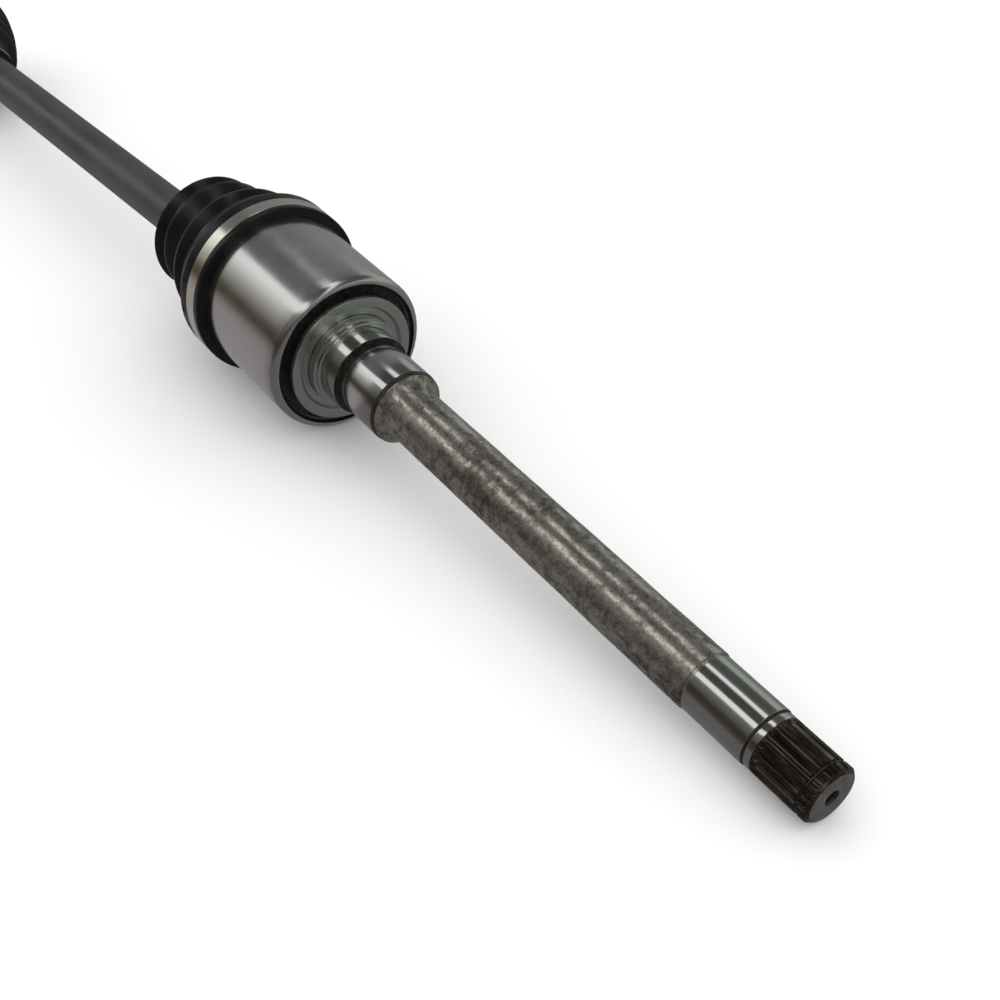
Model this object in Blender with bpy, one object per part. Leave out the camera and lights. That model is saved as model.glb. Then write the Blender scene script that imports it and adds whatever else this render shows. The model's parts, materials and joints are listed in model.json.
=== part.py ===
"""A car's drive axle: a long splined stub with a plunging three-roller joint, a bar,
and a ball joint with the wheel's stub.

The axle lies at rest on a flat surface, with Z up and +X towards the long stub's splined end.
The origin is on that surface, under the middle of the axle.
Sizes are in millimetres. MM turns them into Blender's metres where a mesh is made.

Each turned piece is an outline of (x, radius) points, spun about its own X axis.
An empty at the centre of each joint carries the pieces that share that axis.
"""
import math

import bmesh
import bpy
from mathutils import Matrix, Vector

MM = 0.001

# Fits
GAP = 0.3                 # between two faces that touch
STEP = 0.01               # lean of a square step, which keeps its two corners apart along the axis
SIDES = 32                # flats on a piece that the axle rests on, with one flat downwards
PLAIN_SIDES = 24          # flats on the other large pieces
SMALL_SIDES = 16          # flats on rings, rollers and trunnions

# Long stub of the inboard joint: distances run from its splined end
STUB_REACH = 400.0        # splined end to the joint's centre
SPLINE_TIP_R = 14.1
SPLINE_DEPTH = 1.1
SPLINE_TEETH = 28
SPLINE_LENGTH = 31.0
SPLINE_END_FACE_R = 12.4
CLIP_GROOVE_AT = 5.2
CLIP_GROOVE_WIDTH = 1.7
CLIP_GROOVE_R = 11.4
CENTRE_HOLE_R = 3.2
CENTRE_HOLE_DEPTH = 5.0
LAND_START = 36.1         # ground land behind the spline
LAND_END = 70.7
LAND_R = 14.5
SHAFT_R = 15.0            # forged shaft between the land and the hub
FLARE_R = 7.0             # forged fillet up to the hub
HUB_REACH = 103.3         # start of the hub to the joint's centre
HUB_START = STUB_REACH - HUB_REACH
BEARING_SEAT_R = 20.5     # ground bearing seat
BEARING_SEAT_END = HUB_START + 27.1
RELIEF_R = 19.3
SEAL_BAND_START = BEARING_SEAT_END + 4.0
SEAL_BAND_END = SEAL_BAND_START + 12.8
SEAL_BAND_R = 22.9        # ground band that a seal runs on
SEAT_COLLAR_R = 24.2
DISC_FACE = SEAL_BAND_END + 5.3
DISC_THICKNESS = 2.6
DISC_SEAT_R = 25.6
DISC_RIM = 5.2            # raised flat rim of the end disc
DISC_DISH = 1.6           # depth of the dish inside that rim
CAN_FRONT = DISC_FACE + 4.1
CAN_LENGTH = 96.0
CAN_MOUTH = CAN_FRONT + CAN_LENGTH
CAN_R = 45.4              # sheet can round the joint
CAN_WALL = 1.6
CAN_LIP_R = 3.6
CAN_NECK_R = CAN_R - CAN_LIP_R - 2.1   # where the lip's inner side meets the flange
CAN_DISH = 5.0            # the can's flange lies this far behind its front edge
CAN_FLANGE_INNER_R = 30.6
DISC_R = 36.0

# Three-roller joint inside the can
CUP_FLOOR = 2.0
CUP_DEPTH = CAN_LENGTH - 11.0
ROLLER_PITCH_R = 24.0
ROLLER_R = 15.0
ROLLER_WIDTH = 12.0
ROLLER_PLAY = 1.3         # lets the rollers sway while the joint is bent
TRUNNION_R = 7.6
NEEDLE_D = 2.0
NEEDLE_COUNT = 14
SPIDER_HUB_R = 16.0
SPIDER_HALF_LENGTH = 11.0
TULIP_BORE_R = 22.5
MAX_PLUNGE = 17.0
MAX_INBOARD_BEND = math.radians(20.0)

# Bar between the two joints
BAR_SPAN = 570.0          # joint centre to joint centre
BAR_R = 13.7
BAR_NECK_R = 11.8         # slimmer stretch that swings inside the tulip
BAR_SPLINE_R = 11.6
BAR_END_OVERHANG = 4.5    # past the spider or the inner race
CLIP_WIDTH = 1.4

# Boots and their bands: distances run from the joint's centre towards the boot's narrow end
BOOT_WALL = 2.6
BOOT_BEAD_R = CAN_R + 5.2
BOOT_GRIP = 22.5          # length of the boot that sits on the can
LIP_TO_BAND = 3.9
BOOT_REACH = 70.0         # can's mouth to the narrow end's cuff
BAND_WIDTH = 8.3
BAND_THICKNESS = 0.8
BOOT_BEAD_WIDTH = 6.0     # bead between the band and the folds
BOOT_STOP = 1.4           # how far the boot's inner shoulder covers the edge it stops at
FOLDS_CLEAR_OF_BAND = 10.3
BEND_LATENESS = 6         # the boot stays on the can's axis and bends in its last fold
CUFF_WALL = 4.0
CUFF_LENGTH = 15.0
SMALL_BAND_WIDTH = 6.5
SMALL_BAND_THICKNESS = 0.7

# Ball joint at the wheel
BALL_R = 8.5
BALL_PITCH_R = 30.0
BALL_PLAY = 1.3           # lets each ball sway while the joint is bent
BALL_COUNT = 6
RACE_R = 25.9
RACE_HALF_WIDTH = 11.0
CAGE_INNER_R = 26.5
CAGE_OUTER_R = 31.8
CAGE_HALF_WIDTH = 13.3
BELL_BORE_R = CAGE_OUTER_R + 0.6
BELL_R = 49.0
BELL_SEAT_R = 43.0
BELL_MOUTH = 18.0
BELL_BODY_END = 34.0
BELL_FLOOR = 27.0
HUB_SHOULDER = 47.0
HUB_SHOULDER_R = 31.0
HUB_PILOT_R = 20.0
WHEEL_SPLINE_R = 14.2
WHEEL_SPLINE_TEETH = 30
WHEEL_SPLINE_END = 90.0
THREAD_R = 11.5
WHEEL_STUB_END = 112.0
MAX_WHEEL_BEND = math.radians(45.0)

# Boot stops against the edge of what it sits on
INBOARD_MOUTH = CAN_MOUTH - STUB_REACH + GAP
OUTBOARD_MOUTH = BELL_MOUTH + GAP

# How the axle lies: the can's edge and the splined end both touch the surface
FLAT = math.cos(math.pi / SIDES)      # a flat's distance from the axis, for a corner at 1
PLAIN_FLAT = math.cos(math.pi / PLAIN_SIDES)
STUB_TOUCH = 1.6                      # the stub touches down behind its end chamfer
CAN_TOUCH = CAN_FRONT + CAN_LIP_R     # the can touches down where its lip ends
TIP_TOUCH_R = SPLINE_TIP_R
STUB_PITCH = math.atan((CAN_R * FLAT - TIP_TOUCH_R) / (CAN_TOUCH - STUB_TOUCH))
CENTRE_HEIGHT = TIP_TOUCH_R * math.cos(STUB_PITCH) + (STUB_REACH - STUB_TOUCH) * math.sin(STUB_PITCH)
BAR_PITCH = math.asin((CENTRE_HEIGHT - BELL_R * FLAT) / BAR_SPAN)
REACH_TO_SPLINED_END = STUB_REACH * math.cos(STUB_PITCH) + SPLINE_END_FACE_R * math.sin(STUB_PITCH)
REACH_TO_WHEEL_END = (BAR_SPAN + WHEEL_STUB_END) * math.cos(BAR_PITCH)
CENTRE_X = (REACH_TO_WHEEL_END - REACH_TO_SPLINED_END) / 2

STEEL = {
    "forged": ((0.17, 0.155, 0.14), 0.5, 0.9),
    "ground": ((0.52, 0.51, 0.5), 0.18, 1.0),
    "zinc": ((0.6, 0.6, 0.58), 0.24, 1.0),
    "band": ((0.72, 0.68, 0.58), 0.2, 1.0),
    "painted": ((0.035, 0.036, 0.035), 0.45, 0.3),
    "spring": ((0.03, 0.03, 0.03), 0.35, 0.8),
    "bearing": ((0.62, 0.62, 0.62), 0.12, 1.0),
}
RUBBER = ((0.012, 0.012, 0.013), 0.38, 0.0)

for old in list(bpy.data.objects):
    bpy.data.objects.remove(old, do_unlink=True)


# ---------------------------------------------------------------- helpers

def finish(name, look):
    """A material of its own for one piece."""
    colour, roughness, metallic = look
    material = bpy.data.materials.new(name + "_finish")
    material.use_nodes = True
    shader = material.node_tree.nodes["Principled BSDF"]
    shader.inputs["Base Color"].default_value = (*colour, 1.0)
    shader.inputs["Roughness"].default_value = roughness
    shader.inputs["Metallic"].default_value = metallic
    return material


def piece(name, mesh, look, parent, location=(0, 0, 0), rotation=(0, 0, 0)):
    """Put a mesh on an axis as a named piece."""
    obj = bpy.data.objects.new(name, mesh)
    bpy.context.scene.collection.objects.link(obj)
    obj.parent = parent
    obj.location = Vector(location) * MM
    obj.rotation_euler = rotation
    if not mesh.materials:
        mesh.materials.append(finish(name, look))
    mesh.shade_smooth()
    mesh.set_sharp_from_angle(angle=math.radians(32))
    return obj


def mesh_from(bm, name):
    """Close a bmesh off into a mesh with its faces outwards."""
    bmesh.ops.recalc_face_normals(bm, faces=bm.faces)
    mesh = bpy.data.meshes.new(name)
    bm.to_mesh(mesh)
    bm.free()
    return mesh


def spun(bm, outline, sides):
    """Spin an outline of (x, radius) points about X, with a flat downwards."""
    closed = outline[0][1] > 0
    start = Matrix.Rotation(math.pi / sides, 3, 'X')
    verts = [bm.verts.new(start @ Vector((x, 0, -r)) * MM) for x, r in outline]
    pairs = zip(verts, verts[1:] + (verts[:1] if closed else []))
    edges = [bm.edges.new(pair) for pair in pairs]
    bmesh.ops.spin(bm, geom=verts + edges, cent=(0, 0, 0), axis=(1, 0, 0), angle=2 * math.pi,
                   steps=sides, use_merge=True)
    bmesh.ops.remove_doubles(bm, verts=bm.verts, dist=1e-7)


def turned(name, outline, sides):
    """A full turned solid or ring."""
    bm = bmesh.new()
    spun(bm, outline, sides)
    return mesh_from(bm, name)


def bore_over(radius, sides=PLAIN_SIDES):
    """Corner radius of a faceted bore whose flats clear a round of this radius."""
    return (radius + GAP) / math.cos(math.pi / sides)


def ring(inner_r, outer_r, start, end):
    """The outline of a plain ring."""
    return [(start, outer_r), (end, outer_r), (end, inner_r), (start, inner_r)]


def arc(centre, radius, first, last, steps):
    """Points on an arc in the outline's plane, angles in degrees from +x."""
    points = []
    for i in range(steps + 1):
        angle = math.radians(first + (last - first) * i / steps)
        points.append((centre[0] + radius * math.cos(angle), centre[1] + radius * math.sin(angle)))
    return points


def lofted(name, rings):
    """A solid skinned over closed rings of points, with its two ends capped."""
    bm = bmesh.new()
    levels = [[bm.verts.new(Vector(point) * MM) for point in points] for points in rings]
    for low, high in zip(levels, levels[1:]):
        for i in range(len(low)):
            j = (i + 1) % len(low)
            bm.faces.new((low[i], low[j], high[j], high[i]))
    bm.faces.new(levels[0])
    bm.faces.new(levels[-1])
    return mesh_from(bm, name)


def extruded(name, loop, start, end):
    """A prism along X from a loop of (y, z) points."""
    return lofted(name, [[(x, y, z) for y, z in loop] for x in (start, end)])


def toothed_loop(tip_r, depth, teeth):
    """Round a splined section: flat-topped teeth with sloping sides."""
    pitch = 2 * math.pi / teeth
    loop = []
    for i in range(teeth):
        for share, radius in ((-0.38, tip_r - depth), (-0.2, tip_r), (0.2, tip_r), (0.38, tip_r - depth)):
            angle = (i + 0.5 + share) * pitch
            loop.append((radius * math.sin(angle), -radius * math.cos(angle)))
    return loop


def axis_empty(name, location, pitch, parent=None):
    """An empty whose X axis is the axis of the pieces it carries."""
    empty = bpy.data.objects.new(name, None)
    bpy.context.scene.collection.objects.link(empty)
    empty.parent = parent
    empty.location = Vector(location) * MM
    empty.rotation_euler = (0, pitch, 0)
    return empty


def combine(target, tool_mesh, operation, location=(0, 0, 0), rotation=(0, 0, 0)):
    """Join a shape to a piece or cut it away; the tool stays as a hidden guide."""
    tool = bpy.data.objects.new(target.name + "_tool", tool_mesh)
    bpy.context.scene.collection.objects.link(tool)
    tool.parent = target.parent
    tool.location = Vector(location) * MM
    tool.rotation_euler = rotation
    tool.hide_render = True
    tool.display_type = 'WIRE'
    modifier = target.modifiers.new(operation.lower(), 'BOOLEAN')
    modifier.operation = operation
    modifier.solver = 'EXACT'
    modifier.object = tool


def snap_ring(name, inner_r, outer_r, width, at, parent):
    """An open ring, sprung into a groove; its gap is at the bottom."""
    gap = math.radians(15)
    section = ring(inner_r, outer_r, at - width / 2, at + width / 2)
    rings = []
    for i in range(SMALL_SIDES + 1):
        angle = gap + (2 * math.pi - 2 * gap) * i / SMALL_SIDES
        rings.append([(x, -r * math.sin(angle), -r * math.cos(angle)) for x, r in section])
    piece(name, lofted(name, rings), STEEL["spring"], parent)


def band(name, inner_r, thickness, start, width, ear_height, parent):
    """A steel band with the crimped ear that tightens it, low on the +Y side."""
    outer_r = inner_r + thickness
    clamp = piece(name, turned(name, ring(inner_r, outer_r, start, start + width), PLAIN_SIDES),
                  STEEL["band"], parent)
    root = inner_r + thickness / 2
    foot, crown = 5.0, 3.4
    loop = [(root, -foot), (outer_r + ear_height, -crown), (outer_r + ear_height, crown), (root, foot)]
    inset = width * 0.06
    ear = extruded(name + "_ear", loop, start + inset, start + width - inset)
    combine(clamp, ear, 'UNION', rotation=(-math.radians(52.5), 0, 0))


def from_end(distance):
    """Local x of a point on the long stub, given its distance from the splined end."""
    return STUB_REACH - distance


# ---------------------------------------------------------------- axes

inboard = axis_empty("inboard_axis", (CENTRE_X, 0, CENTRE_HEIGHT), STUB_PITCH)
bar_axis = axis_empty("bar_axis", (CENTRE_X, 0, CENTRE_HEIGHT), -BAR_PITCH)
outboard = axis_empty("outboard_axis", (-BAR_SPAN, 0, 0), 0.0, bar_axis)


# ---------------------------------------------------------------- long stub with its tulip

def tulip_shaft():
    root_r = SPLINE_TIP_R - SPLINE_DEPTH
    core_r = root_r - 0.1
    groove_end = CLIP_GROOVE_AT + CLIP_GROOVE_WIDTH
    tulip_front = CAN_FRONT + CAN_DISH + CAN_WALL + GAP
    tulip_r = CAN_R - CAN_WALL - GAP
    disc_back = DISC_FACE + DISC_THICKNESS + GAP
    flare = arc((HUB_START - 2.5 - FLARE_R, SHAFT_R + FLARE_R), FLARE_R, -90, -18, 3)
    outline = [
        (CENTRE_HOLE_DEPTH, 0), (0, CENTRE_HOLE_R), (0, SPLINE_END_FACE_R), (STUB_TOUCH - 0.6, core_r),
        (CLIP_GROOVE_AT, core_r), (CLIP_GROOVE_AT, CLIP_GROOVE_R), (groove_end, CLIP_GROOVE_R),
        (groove_end, core_r), (SPLINE_LENGTH, core_r), (SPLINE_LENGTH + 1.6, SPLINE_TIP_R),
        (LAND_START - 1.7, SPLINE_TIP_R), (LAND_START - 1.2, LAND_R - 0.8), (LAND_START - 0.5, LAND_R - 0.8),
        (LAND_START, LAND_R), (LAND_END, LAND_R), (LAND_END + 0.3, LAND_R - 0.6),
        (LAND_END + 1.3, LAND_R - 0.6), (LAND_END + 1.9, SHAFT_R), *flare,
        (HUB_START, BEARING_SEAT_R), (BEARING_SEAT_END, BEARING_SEAT_R),
        (BEARING_SEAT_END + 0.2, RELIEF_R), (SEAL_BAND_START, RELIEF_R),
        (SEAL_BAND_START + STEP, SEAL_BAND_R - 0.4), (SEAL_BAND_START + 0.5, SEAL_BAND_R),
        (SEAL_BAND_END, SEAL_BAND_R), (SEAL_BAND_END + 0.4, SEAT_COLLAR_R),
        (DISC_FACE - 3.4, SEAT_COLLAR_R), (DISC_FACE - 3.3, DISC_SEAT_R),
        (disc_back, DISC_SEAT_R), (disc_back + STEP, CAN_FLANGE_INNER_R - GAP),
        (tulip_front, CAN_FLANGE_INNER_R - GAP), (tulip_front + STEP, tulip_r - CAN_LIP_R + CAN_WALL),
        (tulip_front + CAN_LIP_R - 1.0, tulip_r), (tulip_front + CUP_FLOOR + CUP_DEPTH, tulip_r),
        (tulip_front + CUP_FLOOR + CUP_DEPTH + STEP, 0),
    ]
    shaft = piece("tulip_shaft", turned("tulip_shaft", [(from_end(s), r) for s, r in outline], PLAIN_SIDES),
                  STEEL["forged"], inboard)
    teeth = toothed_loop(SPLINE_TIP_R, SPLINE_DEPTH, SPLINE_TEETH)
    combine(shaft, extruded("front_teeth", teeth, from_end(CLIP_GROOVE_AT), from_end(STUB_TOUCH)), 'UNION')
    combine(shaft, extruded("teeth", teeth, from_end(SPLINE_LENGTH + 0.8), from_end(groove_end)), 'UNION')
    cup_floor = from_end(tulip_front + CUP_FLOOR)
    combine(shaft, extruded("tracks", track_loop(), cup_floor - CUP_DEPTH - 10.0, cup_floor), 'DIFFERENCE')
    cup_mouth = tulip_front + CUP_FLOOR + CUP_DEPTH - STUB_REACH
    way = [(0, 0), (0, bar_way(0)), (-cup_mouth - GAP, bar_way(cup_mouth + GAP)), (-cup_mouth - GAP, 0)]
    combine(shaft, turned("mouth", way, PLAIN_SIDES), 'DIFFERENCE')


def bar_way(at):
    """Radius of the tulip's flared mouth, which lets the bar swing when it is pushed all the way in."""
    swing = (at + MAX_PLUNGE) * math.tan(MAX_INBOARD_BEND)
    return (swing + BAR_NECK_R / math.cos(MAX_INBOARD_BEND) + GAP) / PLAIN_FLAT


def track_loop():
    """Round the tulip's hollow: three straight-sided tracks that meet in a round bore."""
    half = ROLLER_R + ROLLER_PLAY
    outer = ROLLER_PITCH_R + ROLLER_WIDTH / 2
    shoulder = (half, outer + 1.0)
    floor = (half / 2, outer + 4.5)
    mouth = math.asin(half / TULIP_BORE_R)
    side = [(half, TULIP_BORE_R * math.cos(mouth)), shoulder, floor]
    profile = [(-y, z) for y, z in side] + [(y, z) for y, z in reversed(side)]
    loop = []
    for k in range(3):
        turn = 2 * math.pi * k / 3
        for y, z in profile:
            loop.append((y * math.cos(turn) + z * math.sin(turn), -y * math.sin(turn) + z * math.cos(turn)))
        middle = turn + math.pi / 3
        loop.append((TULIP_BORE_R * math.sin(middle), TULIP_BORE_R * math.cos(middle)))
    return loop


def joint_can():
    lip = (CAN_FRONT + CAN_LIP_R, CAN_R - CAN_LIP_R)
    flange = CAN_FRONT + CAN_DISH + CAN_WALL
    outside = arc(lip, CAN_LIP_R, 180, 90, 4)
    inside = arc(lip, CAN_LIP_R - CAN_WALL, 90, 180, 3)
    outline = [(flange - CAN_WALL, CAN_FLANGE_INNER_R), (flange - CAN_WALL, CAN_NECK_R), *outside,
               (CAN_MOUTH, CAN_R), (CAN_MOUTH, CAN_R - CAN_WALL), *inside[:-1],
               (flange, CAN_NECK_R + 0.5), (flange, CAN_FLANGE_INNER_R)]
    piece("joint_can", turned("joint_can", [(from_end(s), r) for s, r in outline], SIDES),
          STEEL["zinc"], inboard)


def end_disc():
    inner = bore_over(DISC_SEAT_R)
    back = DISC_FACE + DISC_THICKNESS
    dish = DISC_FACE + DISC_DISH
    outline = [(dish, inner), (dish, DISC_R - DISC_RIM - 1.5), (DISC_FACE, DISC_R - DISC_RIM),
               (DISC_FACE, DISC_R - 0.5), (DISC_FACE + 0.5, DISC_R), (back, DISC_R), (back, inner)]
    piece("end_disc", turned("end_disc", [(from_end(s), r) for s, r in outline], PLAIN_SIDES),
          STEEL["zinc"], inboard)


tulip_shaft()
joint_can()
end_disc()
snap_ring("spline_clip", CLIP_GROOVE_R + GAP, SPLINE_TIP_R - 0.2, CLIP_GROOVE_WIDTH - 2 * GAP,
          from_end(CLIP_GROOVE_AT + CLIP_GROOVE_WIDTH / 2), inboard)


# ---------------------------------------------------------------- bar, spider and rollers

def axle_bar():
    shoulder = SPIDER_HALF_LENGTH + GAP
    race_shoulder = RACE_HALF_WIDTH + GAP
    groove_r = BAR_SPLINE_R - 1.2
    way_out = INBOARD_MOUTH + MAX_PLUNGE + BAR_R * math.sin(MAX_INBOARD_BEND)
    neck_end = way_out / math.cos(MAX_INBOARD_BEND)

    def end(side, origin, edge, neck_r):
        """Shoulder, spline seat, clip groove and tip at one end, from the bar outwards."""
        near = [(-edge - 5.0, neck_r), (-edge, BAR_SPLINE_R + 0.2), (-edge + STEP, BAR_SPLINE_R)]
        far = [(edge, BAR_SPLINE_R), (edge, groove_r), (edge + CLIP_WIDTH + GAP, groove_r),
               (edge + CLIP_WIDTH + GAP, BAR_SPLINE_R), (edge + BAR_END_OVERHANG - 1.0, BAR_SPLINE_R),
               (edge + BAR_END_OVERHANG, BAR_SPLINE_R - 1.0), (edge + BAR_END_OVERHANG, 0)]
        return [(origin + side * x, r) for x, r in near + far]

    neck = [(-neck_end, BAR_NECK_R), (-neck_end - 8.0, BAR_R)]
    outline = [*reversed(end(1, 0.0, shoulder, BAR_NECK_R)), *neck, *end(-1, -BAR_SPAN, race_shoulder, BAR_R)]
    piece("axle_bar", turned("axle_bar", outline, PLAIN_SIDES), STEEL["painted"], bar_axis)


def spider():
    """A hub with three round trunnions, each towards its own track."""
    half = SPIDER_HALF_LENGTH
    bore = bore_over(BAR_SPLINE_R)
    outline = [(-half, bore), (-half, SPIDER_HUB_R - 2.0), (-half + 2.0, SPIDER_HUB_R),
               (half - 2.0, SPIDER_HUB_R), (half, SPIDER_HUB_R - 2.0), (half, bore)]
    hub = piece("spider", turned("spider", outline, PLAIN_SIDES), STEEL["bearing"], bar_axis)
    end = ROLLER_PITCH_R + ROLLER_WIDTH / 2 + 2.0
    groove = end - 1.6
    trunnion = [((bore + SPIDER_HUB_R) / 2, 0), ((bore + SPIDER_HUB_R) / 2 + STEP, TRUNNION_R + 1.2),
                (SPIDER_HUB_R + 0.6, TRUNNION_R + 1.2), (SPIDER_HUB_R + 1.2, TRUNNION_R),
                (groove, TRUNNION_R), (groove, TRUNNION_R - 0.8), (groove + 1.0, TRUNNION_R - 0.8),
                (groove + 1.0, TRUNNION_R), (end, TRUNNION_R), (end, 0)]
    for k in range(3):
        combine(hub, turned("trunnion", trunnion, SMALL_SIDES), 'UNION', rotation=trunnion_turn(k))


def trunnion_turn(k):
    """Euler angles that turn local X onto trunnion k, the first straight up."""
    spin = Matrix.Rotation(-2 * math.pi * k / 3, 4, 'X') @ Matrix.Rotation(-math.pi / 2, 4, 'Y')
    return spin.to_euler()


def rollers():
    """Each roller runs on a ring of needles and is kept on by a clip."""
    half = ROLLER_WIDTH / 2
    needle_inner = bore_over(TRUNNION_R, NEEDLE_COUNT * 2)
    needle_outer = needle_inner + NEEDLE_D
    inner = bore_over(needle_outer, SMALL_SIDES)
    crown = [(ROLLER_PITCH_R + x, math.sqrt(ROLLER_R ** 2 - x ** 2)) for x in (-half, 0.0, half)]
    outline = [(ROLLER_PITCH_R - half, inner), *crown, (ROLLER_PITCH_R + half, inner)]
    lobes = needle_loop(needle_inner, needle_outer)
    groove = ROLLER_PITCH_R + half + 0.4
    clip_bore = bore_over(TRUNNION_R - 0.8, SMALL_SIDES)
    for k in range(3):
        turn = trunnion_turn(k)
        tag = str(k + 1)
        piece("roller_" + tag, turned("roller", outline, SMALL_SIDES), STEEL["bearing"], bar_axis,
              rotation=turn)
        piece("needles_" + tag, needle_ring(lobes, half - 0.8), STEEL["bearing"], bar_axis, rotation=turn)
        piece("roller_clip_" + tag,
              turned("roller_clip", ring(clip_bore, TRUNNION_R + 1.6, groove + 0.15, groove + 0.85),
                     SMALL_SIDES), STEEL["spring"], bar_axis, rotation=turn)


def needle_loop(inner_r, outer_r):
    """The scalloped outside of a full ring of needles, with its round bore."""
    outside = []
    bore = []
    for i in range(NEEDLE_COUNT * 2):
        angle = math.pi * i / NEEDLE_COUNT
        radius = outer_r - (0.5 if i % 2 else 0.0)
        outside.append((radius * math.sin(angle), -radius * math.cos(angle)))
        bore.append((inner_r * math.sin(angle), -inner_r * math.cos(angle)))
    return outside, bore


def needle_ring(loops, half):
    bm = bmesh.new()
    levels = []
    for loop in loops:
        for x in (ROLLER_PITCH_R - half, ROLLER_PITCH_R + half):
            levels.append([bm.verts.new(Vector((x, y, z)) * MM) for y, z in loop])
    outer_low, outer_high, inner_low, inner_high = levels
    for low, high in ((outer_low, outer_high), (outer_high, inner_high),
                      (inner_high, inner_low), (inner_low, outer_low)):
        for i in range(len(low)):
            j = (i + 1) % len(low)
            bm.faces.new((low[i], low[j], high[j], high[i]))
    return mesh_from(bm, "needles")


axle_bar()
spider()
rollers()
snap_ring("spider_clip", BAR_SPLINE_R - 1.2 + GAP, BAR_SPLINE_R + 1.3, CLIP_WIDTH - GAP,
          SPIDER_HALF_LENGTH + GAP + (CLIP_WIDTH + GAP) / 2, bar_axis)
snap_ring("race_clip", BAR_SPLINE_R - 1.2 + GAP, BAR_SPLINE_R + 1.3, CLIP_WIDTH - GAP,
          -(RACE_HALF_WIDTH + GAP + (CLIP_WIDTH + GAP) / 2), outboard)


# ---------------------------------------------------------------- boots

CUFF_BORE = bore_over(BAR_R)
CUFF_R = CUFF_BORE + CUFF_WALL

def boot_outline(lip, seat_r, bead_r, band_start, folds, cuff_start):
    """The two sides of a rubber boot's wall as (distance, radius) points."""
    band_r = (bead_r - BAND_THICKNESS) * PLAIN_FLAT
    band_end = band_start + BAND_WIDTH
    folds_start = band_end + FOLDS_CLEAR_OF_BAND
    outer = [(lip, seat_r + 1.0), (lip + 0.8, bead_r), (band_start - GAP, bead_r),
             (band_start - GAP, band_r - GAP), (band_end + GAP, band_r - GAP),
             (band_end + GAP, bead_r), (band_end + BOOT_BEAD_WIDTH, bead_r)]
    wave = [(folds_start + along * (cuff_start - folds_start), CUFF_R + up * (bead_r - CUFF_R))
            for fold in folds for along, up in fold]
    outer += wave + [(cuff_start, CUFF_R), (cuff_start + CUFF_LENGTH, CUFF_R)]
    inner = [(cuff_start + CUFF_LENGTH, CUFF_BORE), (cuff_start, CUFF_BORE)]
    inner += [(at, r - BOOT_WALL) for at, r in reversed(wave)]
    return outer, inner


def bend_to_bar(bm, start, end, angle):
    """Swing a boot's rings about the joint's centre, none before start and all of it past end."""
    for vert in bm.verts:
        share = min(max((-vert.co.x / MM - start) / (end - start), 0.0), 1.0)
        vert.co = Matrix.Rotation(angle * share ** BEND_LATENESS, 3, 'Y') @ vert.co


INBOARD_LIP = CAN_MOUTH - STUB_REACH - BOOT_GRIP
INBOARD_BAND = INBOARD_LIP + LIP_TO_BAND
INBOARD_CUFF = CAN_MOUTH - STUB_REACH + BOOT_REACH
# Crest and valley of each fold, as shares of the way to the cuff and of the height above it
INBOARD_FOLDS = [((0.05, 0.889), (0.136, 0.612)), ((0.281, 0.757), (0.471, 0.458)),
                 ((0.636, 0.563), (0.747, 0.412)), ((0.849, 0.535), (0.95, 0.3))]
INBOARD_BEND = math.radians(20.0)

# Bar between the two joints
BAR_SPAN = 570.0          # joint centre to joint centre
BAR_R = 13.7
BAR_NECK_R = 11.8         # slimmer stretch that swings inside the tulip
BAR_SPLINE_R = 11.6
BAR_END_OVERHANG = 4.5    # past the spider or the inner race
CLIP_WIDTH = 1.4

# Boots and their bands: distances run from the joint's centre towards the boot's narrow end
BOOT_WALL = 2.6
BOOT_BEAD_R = CAN_R + 5.2
BOOT_GRIP = 22.5          # length of the boot that sits on the can
LIP_TO_BAND = 3.9
BOOT_REACH = 70.0         # can's mouth to the narrow end's cuff
BAND_WIDTH = 8.3
BAND_THICKNESS = 0.8
BOOT_BEAD_WIDTH = 6.0     # bead between the band and the folds
BOOT_STOP = 1.4           # how far the boot's inner shoulder covers the edge it stops at
FOLDS_CLEAR_OF_BAND = 10.3
BEND_LATENESS = 6         # the boot stays on the can's axis and bends in its last fold
CUFF_WALL = 4.0
CUFF_LENGTH = 15.0
SMALL_BAND_WIDTH = 6.5
SMALL_BAND_THICKNESS = 0.7

# Ball joint at the wheel
BALL_R = 8.5
BALL_PITCH_R = 30.0
BALL_PLAY = 1.3           # lets each ball sway while the joint is bent
BALL_COUNT = 6
RACE_R = 25.9
RACE_HALF_WIDTH = 11.0
CAGE_INNER_R = 26.5
CAGE_OUTER_R = 31.8
CAGE_HALF_WIDTH = 13.3
BELL_BORE_R = CAGE_OUTER_R + 0.6
BELL_R = 49.0
BELL_SEAT_R = 43.0
BELL_MOUTH = 18.0
BELL_BODY_END = 34.0
BELL_FLOOR = 27.0
HUB_SHOULDER = 47.0
HUB_SHOULDER_R = 31.0
HUB_PILOT_R = 20.0
WHEEL_SPLINE_R = 14.2
WHEEL_SPLINE_TEETH = 30
WHEEL_SPLINE_END = 90.0
THREAD_R = 11.5
WHEEL_STUB_END = 112.0
MAX_WHEEL_BEND = math.radians(45.0)

# Boot stops against the edge of what it sits on
INBOARD_MOUTH = CAN_MOUTH - STUB_REACH + GAP
OUTBOARD_MOUTH = BELL_MOUTH + GAP

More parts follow.
